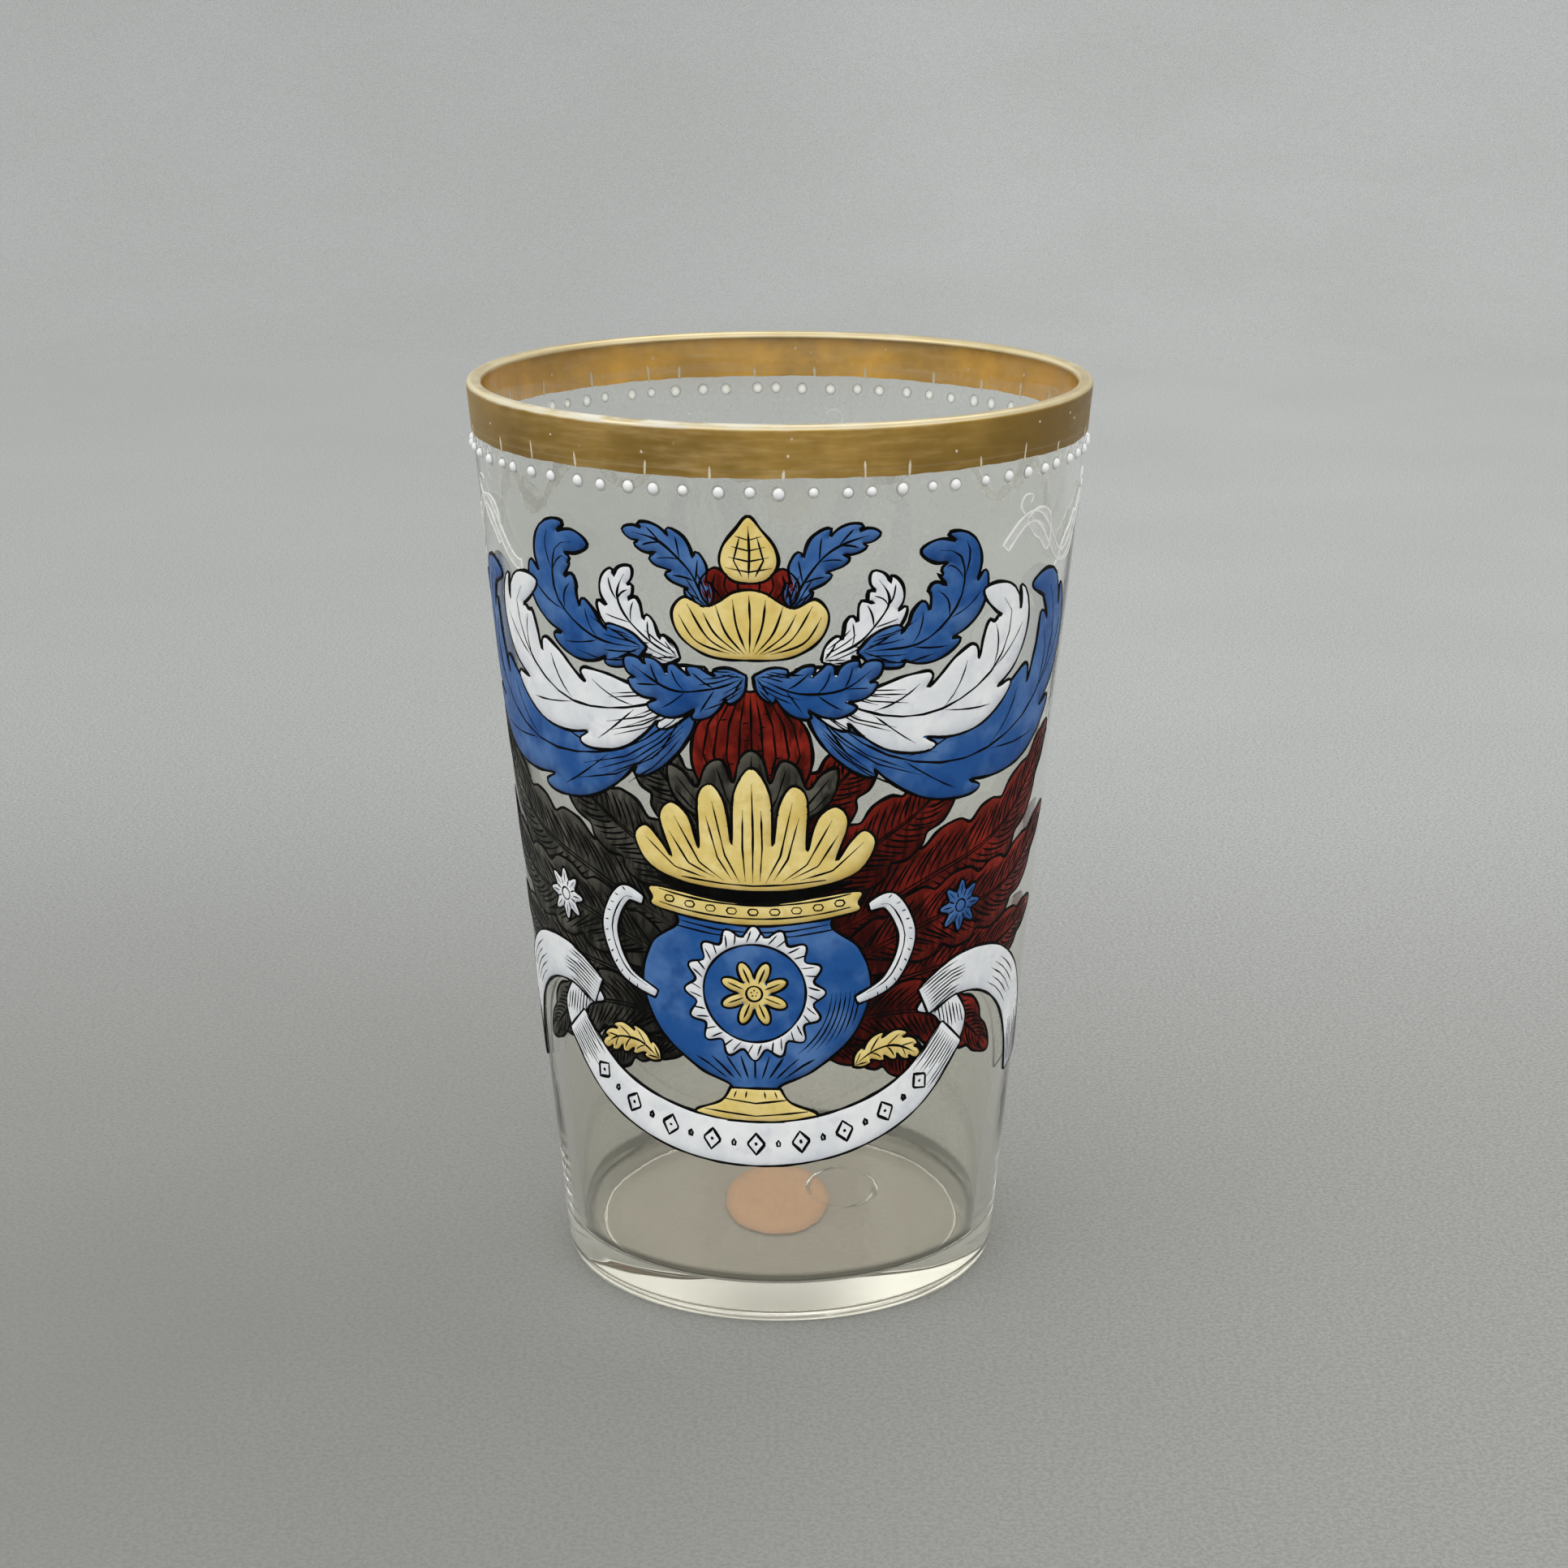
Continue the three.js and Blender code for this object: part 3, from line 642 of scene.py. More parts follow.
def bender(spine, width):
    # A function that places (along 0..1, across -1..1) on a curve
    count = 100
    places = even_steps(spline(spine, 12), count)
    across = left_hand(places)

    def at(t, y):
        x = min(max(t, 0), 1) * count
        i = min(int(x), count - 1)
        f = x - i
        middle = places[i] + (places[i + 1] - places[i]) * f
        side = across[i] + (across[i + 1] - across[i]) * f
        return tuple(middle + side * y * width)

    return at


LEAF_SIDE = [
    (0.02, 0.16), (0.06, 0.42), (0.12, 0.6), (0.19, 0.66), (0.215, 0.55), (0.205, 0.4),
    (0.26, 0.66), (0.33, 0.9), (0.42, 0.98), (0.445, 0.84), (0.42, 0.6), (0.49, 0.82),
    (0.57, 1.0), (0.66, 0.97), (0.685, 0.8), (0.65, 0.52), (0.72, 0.7), (0.8, 0.74),
    (0.87, 0.6), (0.875, 0.46), (0.84, 0.32), (0.91, 0.36), (0.97, 0.22),
]


def acanthus(spine, width, inner):
    at = bender(spine, width)
    low = [(t, -y * inner) for t, y in LEAF_SIDE][::-1]
    template = spline([(0.0, 0.0)] + LEAF_SIDE + [(1.0, 0.0)] + low, 4, True)
    return [at(t, y) for t, y in template]


def swell(t):
    return sin(pi * (min(max(t, 0), 1) * 0.94 + 0.05) ** 0.85) ** 0.7


def plume(spine, width, lobes):
    at = bender(spine, width)
    side = []
    for i in range(lobes):
        for f, g in ((0.12, 0.78), (0.45, 1.0), (0.85, 1.0), (1.0, 0.87)):
            t = (i + f) / lobes
            if t < 0.985:
                side.append((t, swell(t) * g))
    foot = 0.9 * swell(0)
    template = [(0, foot)] + side + [(1.0, 0.0)] + [(t, -y) for t, y in side[::-1]] + [(0, -foot)]
    return [at(t, y) for t, y in spline(template, 3, True)]


def strip(spine, widths, steps=10):
    path = np.array(spline(spine, steps))
    across = left_hand(path)
    at = np.linspace(0, len(widths) - 1, len(path))
    half = np.interp(at, range(len(widths)), widths)[:, None] / 2
    return [tuple(p) for p in np.concatenate([path + across * half, (path - across * half)[::-1]])]


def spoke(u, v, a, radii):
    # Points on a line from a centre, at angle a
    return [(u + r * sin(a), v + r * cos(a)) for r in radii]


def ring(u, v, steps, radius_at):
    turns = [2 * pi * i / steps for i in range(steps)]
    return [spoke(u, v, a, [radius_at(a)])[0] for a in turns]


# Height of each painted level over the glass
def level_top(level):
    return 0.07 + 0.035 * level


def to_outline(points, outline):
    # Distance of each point to a closed outline, and the outline's side direction there
    start = np.array(outline, float)
    run = np.roll(start, -1, 0) - start
    length = np.maximum((run**2).sum(1), 1e-12)
    side = np.stack([run[:, 1], -run[:, 0]], 1) / np.sqrt(length)[:, None]
    distance = []
    facing = []
    for part in np.array_split(np.array(points, float), max(1, len(points) // 400)):
        off = part[:, None, :] - start[None]
        t = np.clip((off * run).sum(2) / length, 0, 1)
        off -= t[..., None] * run
        d = (off**2).sum(2)
        k = d.argmin(1)
        distance.append(np.sqrt(d[np.arange(len(part)), k]))
        facing.append(side[k])
    return np.concatenate(distance), np.concatenate(facing)


def inside(points, outline):
    p = np.array(points, float)
    a = np.array(outline, float)
    b = np.roll(a, -1, 0)
    u, v = p[:, 0][:, None], p[:, 1][:, None]
    spans = (a[:, 1] > v) != (b[:, 1] > v)
    rise = np.where(b[:, 1] == a[:, 1], 1e-9, b[:, 1] - a[:, 1])
    crossing = a[:, 0] + (v - a[:, 1]) / rise * (b[:, 0] - a[:, 0])
    return (spans & (u < crossing)).sum(1) % 2 == 1


def even_outline(outline, step):
    # The outline anticlockwise, with points about a step apart and its corners kept
    points = np.array(outline, float)
    area = (points[:, 0] * np.roll(points[:, 1], -1) - points[:, 1] * np.roll(points[:, 0], -1)).sum()
    if area < 0:
        points = points[::-1]
    out = []
    for a, b in zip(points, np.roll(points, -1, 0)):
        parts = max(1, round(dist(a, b) / step))
        if out and dist(out[-1], a) < 0.05:
            continue
        out += [tuple(a + (b - a) * i / parts) for i in range(parts)]
    if dist(out[0], out[-1]) < 0.05:
        out.pop()
    return out


def triangles(loops, extra):
    # Triangles inside the first loop and outside the others
    points = [p for loop in loops for p in loop] + list(extra)
    edges = []
    first = 0
    for loop in loops:
        edges += [(first + i, first + (i + 1) % len(loop)) for i in range(len(loop))]
        first += len(loop)
    made = delaunay_2d_cdt([Vector(p) for p in points], edges, [], 0, 1e-5)
    spots = np.array([(p.x, p.y) for p in made[0]])
    faces = np.array([f for f in made[2] if len(f) == 3])
    middle = spots[faces].mean(1)
    keep = inside(middle, loops[0])
    for loop in loops[1:]:
        keep &= ~inside(middle, loop)
    return spots, faces[keep]


def grid(low, high, step):
    rows = []
    for j, v in enumerate(np.arange(low[1], high[1], step * 0.87)):
        start = low[0] + (j % 2) * step / 2
        rows += [(u, v) for u in np.arange(start, high[0], step)]
    return np.array(rows)


# A field of enamel: a thin cushion with rounded edges on the wall, darker near its root
ROUND_WIDTH = 0.2
OUTLINE_STEP = 0.4
FRONT_MESH = 0.75
BACK_MESH = 2.2
SHADED_SIDE = (0.45, -0.89)
ROOT_REACH = 15


def field(node, material, level, outline, hole=None, light=0.5, shade=0.75, root=None):
    loops = [even_outline(loop, OUTLINE_STEP) for loop in (outline, hole) if loop is not None]
    foot = 0.014 + 0.012 * level

    def measure(points):
        d, facing = to_outline(points, loops[0])
        for loop in loops[1:]:
            e, other = to_outline(points, loop)
            facing = np.where((e < d)[:, None], -other, facing)
            d = np.minimum(d, e)
        return d, facing

    def spread(step, margin):
        points = grid(np.min(loops[0], 0), np.max(loops[0], 0), step)
        points = points[inside(points, loops[0])]
        return points[measure(points)[0] > margin] if len(points) else points

    extra = [spread(FRONT_MESH, 0.42)]
    for inset in (0.06, 0.24):
        for way, loop in zip((1, -1), loops):
            moved = np.array(loop) + left_hand(loop, True) * inset * way
            moved = moved[measure(moved)[0] > inset * 0.93]
            extra.append(moved[inside(moved, loops[0])])
    bm = bmesh.new()
    light_layer, shade_layer = layers(bm, "light", "shade")
    spots, faces = triangles(loops, np.concatenate(extra))
    distance, facing = measure(spots)
    rise = np.sqrt(1 - (1 - np.clip(distance / ROUND_WIDTH, 0, 1)) ** 2)
    toward = facing @ np.array(SHADED_SIDE)
    fade = np.exp(-distance / 0.75)
    deep = np.zeros(len(spots))
    if root is not None:
        deep = 0.78 * np.exp(-((np.hypot(*(spots - np.array(root)).T) / ROOT_REACH) ** 2))
    verts = []
    for (u, v), r, t, f, dark in zip(spots, rise, toward, fade, deep):
        vert = bm.verts.new(on_wall(u, v, foot + (level_top(level) - foot) * r))
        vert[light_layer] = light * f * max(0.0, -t) * (1 - dark)
        vert[shade_layer] = max(dark, shade * f * max(0.0, t))
        verts.append(vert)
    add_faces(bm, verts, faces)
    spots, faces = triangles(loops, spread(BACK_MESH, 0.5))
    add_faces(bm, [bm.verts.new(on_wall(u, v, foot)) for u, v in spots], faces[:, ::-1])
    bmesh.ops.remove_doubles(bm, verts=bm.verts, dist=0.0005)
    finish(node + "_coat", bm, [material], [node])


# Painted lines: thin ridges with tapering ends
RIDGE = ((-1, 0.0), (-0.8, 0.75), (0, 1.0), (0.8, 0.75), (1, 0.0))
LINE_STEP = 0.42
SHORTEST_LINE = 0.15


class Pen:
    def __init__(self, weight):
        self.weight = weight
        self.verts = []
        self.faces = []
        self.count = 0

    def draw(self, path, level, width=0.3, taper=0.9, closed=False, low=None, lift=0.034):
        path = np.array(path, float)
        if closed:
            path = np.concatenate([path, path[:1]])
        length = np.hypot(*np.diff(path, axis=0).T).sum()
        if length < SHORTEST_LINE:
            return
        places = even_steps(path, max(3, int(length / LINE_STEP)))
        if closed:
            places = places[:-1]
        top = level_top(level) + lift
        foot = level_top(level) - 0.05 if low is None else low
        self.count += 1
        first = len(self.verts)
        n = len(places)
        for i, (p, side) in enumerate(zip(places, left_hand(places, closed))):
            t = i / max(1, n - 1)
            ends = 1.0 if closed else smooth_step(min(t, 1 - t) * 4 + 1 - taper)
            hand = 1 + 0.22 * sin(i * 0.31 + self.count * 1.7) + 0.12 * sin(i * 0.83 + self.count)
            half = max(0.03, 0.5 * self.weight * width * ends * hand)
            for y, up in RIDGE:
                u, v = p + side * half * y
                self.verts.append(on_wall(u, v, foot + (top - foot) * up))
        for i in range(n if closed else n - 1):
            a, b = first + i * 5, first + (i + 1) % n * 5
            for k in range(5):
                m = (k + 1) % 5
                self.faces.append((a + k, a + m, b + m, b + k))
        if not closed:
            self.faces.append(tuple(first + k for k in range(5)))
            self.faces.append(tuple(first + (n - 1) * 5 + k for k in range(4, -1, -1)))

    def loop(self, outline, level, width=0.3, low=0.02, step=OUTLINE_STEP):
        self.draw(even_outline(outline, step), level, width, closed=True, low=low)

    def make(self, name, material, nodes=()):
        # Turn what was drawn so far into a piece and start the next one
        bm = bmesh.new()
        add_faces(bm, [bm.verts.new(v) for v in self.verts], self.faces)
        self.verts = []
        self.faces = []
        finish(name, bm, [material], nodes)


ink = Pen(1.35)


def painted(node, material, level, outline, line=0.32, **options):
    # A field with its black outline
    field(node, material, level, outline, **options)
    ink.loop(outline, level, line, 0.03)


def leaf(node, material, level, curve, half, inner, hatch, line, light):
    # A leaf with its midrib, a vein into each lobe and hatching near the root
    painted(node, material, level, acanthus(curve, half, inner), line, light=light)
    at = bender(curve, half)
    ink.draw([at(0.03 + 0.88 * i / 14, 0.02 * sin(i)) for i in range(15)], level, 0.26)
    for t, y in ((0.17, 0.5), (0.4, 0.84), (0.62, 0.86), (0.82, 0.56)):
        for side in (1, -inner):
            bow = [at(t - 0.16 + 0.17 * f**0.8, side * y * f) for f in (0.06, 0.25, 0.45, 0.65, 0.85)]
            ink.draw(bow, level, 0.18)
    for i in range(hatch):
        for side in (1, -inner):
            y = (0.12 + 0.5 * (i + 0.5) / hatch) * side
            end = 0.17 + 0.2 * chance(i * 3 + side * 2 + half)
            start = 0.05 + 0.05 * i / hatch
            line = [at(start + (end - start) * f, y * (0.7 + 0.5 * f)) for f in (0, 0.3, 0.6, 1)]
            ink.draw(line, level, 0.16)


def barbs(spine, width, lobes, level):
    # A double rib, and barbs that sweep to the edge
    at = bender(spine, width)
    for y in (-0.045, 0.045):
        ink.draw([at(0.02 + 0.93 * i / 16, y * (1.3 - i / 16)) for i in range(17)], level, 0.2)
    count = lobes * 5
    for i in range(count):
        t = 0.06 + 0.84 * i / count
        reach = 0.84 * (0.8 + 0.2 * chance(i + lobes))
        for side in (1, -1):
            bow = []
            for f in (0.1, 0.3, 0.5, 0.7, 0.88, 1.0):
                s = t + 0.11 * f**1.4
                bow.append(at(s, side * reach * f * swell(s)))
            ink.draw(bow, level, 0.2 + 0.1 * chance(i * 7 + side))


# Plumes that fan out from the urn: curve, half width and number of scallops
PLUMES = [
    ([(3, 61), (6, 69), (11, 76), (17, 82)], 4.3, 5),
    ([(6, 58), (14, 66), (22, 71.5), (28, 79)], 4.6, 5),
    ([(9, 55), (22, 61), (36, 66), (47, 77)], 5.6, 6),
    ([(11, 51), (24, 55.5), (38, 57.5), (50, 65)], 5.2, 6),
    ([(12, 47), (24, 48.5), (37, 49), (49, 52)], 4.8, 6),
    ([(11, 43), (20, 43.5), (29, 41), (38, 34)], 4.4, 5),
    ([(9, 39.5), (16, 39.5), (21.5, 36.5), (25, 31.5)], 3.2, 4),
]
SIDES = (("left", -1), ("right", 1))


def plumes():
    for i, (spine, half, lobes) in enumerate(PLUMES):
        for (tag, side), material in zip(SIDES, (GREY, RED)):
            level = i % 2
            curve = flip(spine, side)
            name = "plume_%d_%s" % (i + 1, tag)
            shape = plume(curve, half, lobes)
            painted(name, material, level, shape, 0.34, light=0.9, shade=0.9, root=curve[0])
            barbs(curve, half, lobes, level)


# Leaf scrolls: curve, half width, inner share, colours left and right, level, hatching
SCROLLS = [
    ("scroll_tip", [(8, 91), (12.5, 93.5), (15.5, 98), (13.5, 102)], 3.2, 0.8, "ww", 1, 2),
    ("scroll_outer", [(6, 86.5), (15, 79), (27, 76.5), (38, 80), (44, 88), (42, 96), (37, 97)],
     6.2, 0.85, "bb", 2, 5),
    ("scroll_upper", [(12, 92), (19.5, 92.5), (24.5, 97), (24, 103), (19, 104)], 4.6, 0.8, "bb", 2, 3),
    ("scroll_inner", [(5, 90), (13, 84.5), (23, 83.5), (31, 88), (33, 95), (28, 98)],
     5.6, 0.9, "ww", 3, 6),
    ("garland", [(0.4, 89.2), (5, 87.2), (10, 87.2), (15, 90.5)], 3.7, 0.9, "bb", 4, 3),
    ("ribbon_spray", [(13.4, 36.8), (16.5, 38.8), (20, 38.8), (23.4, 36.8)], 2.2, 0.9, "yy", 4, 0),
]
LOOKS = {"w": WHITE, "b": BLUE, "y": YELLOW}


def scrolls():
    for name, spine, half, inner, colours, level, hatch in SCROLLS:
        for (tag, side), colour in zip(SIDES, colours):
            leaf(name + "_" + tag, LOOKS[colour], level, flip(spine, side), half, inner, hatch, 0.34, 0.75)


# Right halves of the mirrored shapes, from the middle outwards and back
CUP_HALF = [
    (0, 91.2), (4.6, 91.6), (7.8, 93.8), (8.7, 96.8), (7.2, 98.8), (5, 97.8), (3.4, 98.4),
    (1.8, 99.6), (0, 100),
]
BLOOM_HALF = [(0, 97), (4.4, 98), (5.4, 100.6), (3.8, 102.6), (2, 101.8), (0, 102.4)]
FINIAL_HALF = [(0, 100.8), (1.9, 101.2), (3.1, 103), (2.8, 105.2), (1.4, 107.3), (0, 109)]
FRUIT_HALF = [(0, 72.4), (4.6, 73.4), (7, 77.4), (6.4, 82.4), (3.4, 86), (2.4, 88.2), (0, 87.2)]
CALYX_HALF = [
    (0, 70), (5, 70), (9.4, 73), (10.2, 77.2), (8.2, 76.6), (6.6, 74.6), (5.4, 77.6), (3.4, 78.4),
    (2.2, 75.4), (1.4, 78.6), (0, 79.8),
]
URN_HALF = [
    (11.6, 59.2), (9.8, 56.4), (13.6, 53.2), (15.4, 47.5), (13.2, 41.2), (7.8, 36.6),
    (3.2, 34.4), (3.4, 31.6),
]
FOOT_HALF = [(3.4, 34.2), (4.8, 32.2), (8.4, 30.6), (8.2, 29.4)]
RIM_OUTLINE = [
    (-12.6, 61), (0, 59.6), (12.6, 61), (13.2, 59.4), (12.4, 58), (0, 56.6), (-12.4, 58), (-13.2, 59.4)
]
PALMETTE_HALF = [
    (0, 61.2), (8, 61.8), (13.2, 63.6), (15.2, 67.2), (13.6, 69), (11.8, 67.4), (10.2, 65.2), (11.6, 70.2),
    (10, 72.4), (7.8, 70.8), (6.6, 66.6), (6.6, 73.4), (4.8, 75.2), (3.2, 72.6), (2.5, 67.4), (2.2, 74),
    (0, 77.6),
]
BADGE = 47.4


def both_lines(path, level, width=0.2, taper=0.8):
    ink.draw(path, level, width, taper)
    ink.draw(flip(path, -1), level, width, taper)


def crest():
    for tag, side in SIDES:
        curve = flip([(4.5, 97.5), (6.5, 102), (9.8, 105.4), (14.2, 106.6)], side)
        leaf("crest_leaf_" + tag, BLUE, 3, curve, 2.7, 0.85, 2, 0.3, 0.8)
    painted("crest_bloom", RED, 3, mirrored(BLOOM_HALF))
    for x in (1.2, 2.7, 4.0):
        both_lines([(x * 0.7, 98.6), (x, 100.4), (x * 0.9, 101.9)], 3)
    painted("crest_cup", YELLOW, 4, mirrored(CUP_HALF))
    for path in (
        [(0.6, 92), (2.6, 94.6), (3.7, 98)],
        [(1.5, 92), (4.6, 93.8), (6.9, 98)],
        [(0.4, 92.4), (1.4, 95.4), (1.8, 98.8)],
        [(1.1, 92), (3.8, 94.4), (5.1, 97)],
        [(2.3, 92), (6, 93.4), (7.9, 96.6)],
    ):
        both_lines(spline(path, 5), 4, 0.2, 0.9)
    ink.draw([(0, 92.2), (0.1, 96), (0, 99.3)], 4, 0.22)
    painted("crest_finial", YELLOW, 4, mirrored(FINIAL_HALF))
    ink.draw([(0, 101.4), (0.1, 104.4), (0, 107.8)], 4, 0.22)
    both_lines([(0.7, 101.6), (1.6, 103.6), (0.9, 106.6)], 4)
    for k in range(4):
        v = 102.2 + 1.3 * k
        w = 2.5 - 0.35 * k
        ink.draw([(-w, v + 0.5), (0, v), (w, v + 0.5)], 4, 0.16)


def fruit():
    painted("fruit_body", RED, 2, mirrored(FRUIT_HALF), 0.34, light=0.9)
    ink.draw([(0, 76), (0.1, 81), (0, 87)], 2, 0.24)
    for x in (1.4, 2.9, 4.4, 5.7):
        both_lines([(x * 0.7, 75), (x, 79), (x * 0.86, 83), (x * 0.42, 87)], 2, 0.22, 0.9)
    for i in range(22):
        x = -5.6 + 11.2 * chance(i * 5 + 1)
        y = 75.6 + 10 * chance(i * 9 + 2)
        if abs(x) < 6.2 - 0.5 * abs(y - 79):
            ink.draw([(x - 0.35, y), (x + 0.35, y + 0.15)], 2, 0.16)
    painted("fruit_calyx", GREY, 3, mirrored(CALYX_HALF, 3), 0.34, light=0.9)
    for path in (
        [(0, 70.8), (0.1, 75), (0, 79)],
        [(1.6, 70.8), (3, 73.6), (4.1, 77.4)],
        [(3.8, 70.8), (6.4, 72.4), (9.2, 76)],
        [(0.9, 70.8), (1.2, 73), (1.3, 76)],
        [(2.6, 70.8), (4.4, 72.8), (5.2, 75.6)],
        [(5.2, 70.8), (7.4, 72), (9.3, 74.2)],
    ):
        both_lines(path, 3)


def draw_inside(path, shape, level, width):
    # A line cut off at the edge of its field
    path = [p for p in path if inside([p], shape)[0]]
    if len(path) > 2:
        ink.draw(path, level, width)


def urn_body():
    side = spline(URN_HALF, 8)
    shape = side + mirror(side)
    painted("urn_body", BLUE, 3, shape, 0.36, light=0.9)
    mouth = [(-12.4, 62.2), (-6, 60.9), (0, 60.5), (6, 60.9), (12.4, 62.2)]
    ink.draw(mouth, 1, 1.5, 0.6, low=0.02)
    for i in range(7):
        r = 10.1 + 0.62 * i
        span = 0.95 - 0.1 * i
        start = radians(118 - 3 * i) - span * 0.5
        turns = [start + span * j / 8 for j in range(9)]
        draw_inside([(r * sin(a), BADGE + r * cos(a)) for a in turns], shape, 3, 0.17)
    ink.draw([(0, 38.9), (0, 37.4), (0, 35.6)], 3, 0.24, 0.5)
    for x in (1.5, 3.0, 4.6, 6.3):
        both_lines([(x * 1.28, 38.9 - 0.1 * x), (x * 1.02, 37.4), (x * 0.62, 35.6)], 3, 0.24)
    for v, w in ((55.6, 9.4), (54.9, 10.2)):
        path = [(-w, v + 1.1), (-w / 2, v + 0.35), (0, v + 0.1), (w / 2, v + 0.35), (w, v + 1.1)]
        ink.draw(path, 3, 0.2, 0.5)


def urn_foot_and_rim():
    side = spline(FOOT_HALF, 6)
    painted("urn_foot", YELLOW, 4, side + mirror(side))
    ink.draw([(-4.2, 32.6), (0, 32.1), (4.2, 32.6)], 4, 0.22, 0.5)
    ink.draw([(-7.2, 30.9), (0, 30.3), (7.2, 30.9)], 4, 0.2, 0.5)
    for x in (1.2, 2.6):
        both_lines([(x, 33.8), (x * 1.15, 32.8)], 4, 0.18)
    painted("urn_rim", YELLOW, 4, spline(RIM_OUTLINE, 6, True))
    for lift, width in ((0.5, 0.2), (2.3, 0.24)):
        path = [(x, 57.1 + lift + 1.35 * (x / 12.6) ** 2) for x in np.linspace(-12.2, 12.2, 15)]
        ink.draw(path, 4, width, 0.5)
    for i in range(-4, 5):
        x = i * 2.7
        y = 58.5 + 1.35 * (x / 12.6) ** 2
        ink.draw(ring(x, y, 12, lambda a: 0.42 + 0.22 * abs(sin(a))), 4, 0.17, closed=True)


def urn_badge():
    hole = ring(0, BADGE, 90, lambda a: 6.7)
    painted("urn_wreath", WHITE, 4, ring(0, BADGE, 192, lambda a: 8.6 + 0.75 * cos(16 * a)), hole=hole)
    ink.loop(hole, 4, 0.28, 0.03)
    for i in range(16):
        a = 2 * pi * i / 16
        for turn in (-0.06, 0.1):
            bends = ((7.0, a + (turn - 0.07)), (7.7, a + (turn - 0.02)), (8.6, a + (turn + 0.02)))
            ink.draw([(r * sin(t), BADGE + r * cos(t)) for r, t in bends], 4, 0.18)
    rosette = ring(0, BADGE, 192, lambda a: 2 + 2.6 * abs(sin(4 * a)))
    painted("urn_rosette", YELLOW, 4, rosette, shade=0.9)
    ink.draw(ring(0, BADGE, 24, lambda a: 1.05), 4, 0.24, closed=True)
    for i in range(8):
        ink.draw(spoke(0, BADGE, 2 * pi * (i + 0.5) / 8, (1.5, 2.4, 3.7)), 4, 0.2)
    for x, y in ring(0, BADGE, 5, lambda a: 0.4):
        ink.draw([(x - 0.1, y), (x + 0.12, y + 0.1)], 4, 0.16, 0.5)


def urn_handles():
    for tag, s in SIDES:
        curve = flip([(13.4, 46), (18.2, 48.5), (20.2, 54), (17.6, 59), (14.6, 58.6)], s)
        painted("urn_handle_" + tag, WHITE, 4, strip(curve, [1.2, 2.2, 2.6, 2.4, 1.2]))
        at = bender(curve, 1.0)
        ink.draw([at(0.08 + 0.84 * i / 12, 0.35 * s) for i in range(13)], 4, 0.18)
        for i in range(12):
            t = 0.14 + 0.72 * i / 11
            ink.draw([at(t, -0.85 * s), at(t + 0.01, -0.3 * s)], 4, 0.14)


def palmette():
    painted("palmette", YELLOW, 4, mirrored(PALMETTE_HALF, 4), shade=0.9)
    ink.draw([(0, 62.4), (0.1, 69), (0, 75.4)], 4, 0.22)
    for path in (
        [(1.6, 62.4), (3.4, 66), (4.8, 73)],
        [(3.6, 62.6), (6.6, 64.8), (9.6, 70.6)],
        [(5.8, 62.8), (9.8, 63.9), (13.6, 67.4)],
        [(0.9, 62.6), (1.2, 67), (1.1, 72)],
        [(2.6, 62.8), (4.3, 65.6), (5.6, 71)],
        [(4.8, 63), (8, 64.6), (10.4, 68.6)],
    ):
        both_lines(path, 4, 0.19, 0.9)
    ink.draw([(-9, 62.7), (-4, 62.2), (0, 62), (4, 62.2), (9, 62.7)], 4, 0.2, 0.5)


DAISY_PLACE = (28.5, 56.5)


def daisies():
    for (tag, s), material in zip(SIDES, (WHITE, BLUE)):
        u, v = DAISY_PLACE[0] * s, DAISY_PLACE[1]
        painted("daisy_" + tag, material, 4, ring(u, v, 120, lambda a: 2.9 + 0.7 * cos(8 * a)))
        ink.draw(ring(u, v, 20, lambda a: 0.85), 4, 0.22, closed=True)
        for i in range(8):
            ink.draw(spoke(u, v, 2 * pi * (i + 0.5) / 8, (1.15, 1.7, 2.2)), 4, 0.2)
            ink.draw(spoke(u, v, 2 * pi * i / 8, (1.5, 2.1, 2.9)), 4, 0.13)


def hatch(at, start, long, y, level=4, width=0.18, steps=(0, 0.4, 0.8, 1.2)):
    # A short line along a ribbon
    ink.draw([at(start + long * f, y) for f in steps], level, width)


def ribbon_ends():
    for tag, s in SIDES:
        fold = [(29.5, 36.2), (31.4, 41), (26.5, 46.3), (22.4, 43.4), (25.8, 41.6)]
        shape = spline(flip(fold, s), 8, True)
        painted("ribbon_fold_" + tag, WHITE, 3, shape, shade=0.9)
        for i in range(9):
            x = 24.2 + 0.72 * i
            path = [(x, 44.6 - 0.25 * i), (x + 0.9, 41.6 - 0.2 * i), (x + 1.1, 39 + 0.15 * i)]
            draw_inside(spline(flip(path, s), 4), shape, 3, 0.18)
        curve = flip([(23.4, 44.2), (29, 46.8), (36, 46), (42.5, 41.5), (46.5, 35), (48, 29)], s)
        painted("ribbon_tail_" + tag, WHITE, 4, strip(curve, [4.2, 5.6, 6.4, 6.6, 6.4, 5.6]), 0.3)
        at = bender(curve, 3.0)
        for i in range(11):
            y = -0.85 + 1.7 * i / 10
            hatch(at, 0.02, 0.1 + 0.08 * chance(i + 3), y)
            hatch(at, 0.985, -0.09 - 0.09 * chance(i + 30), y)
            if i % 2:
                hatch(at, 0.52, 0.07 + 0.07 * chance(i + 60), y * 0.95, 4, 0.15, (-1, -0.3, 0.3, 1))


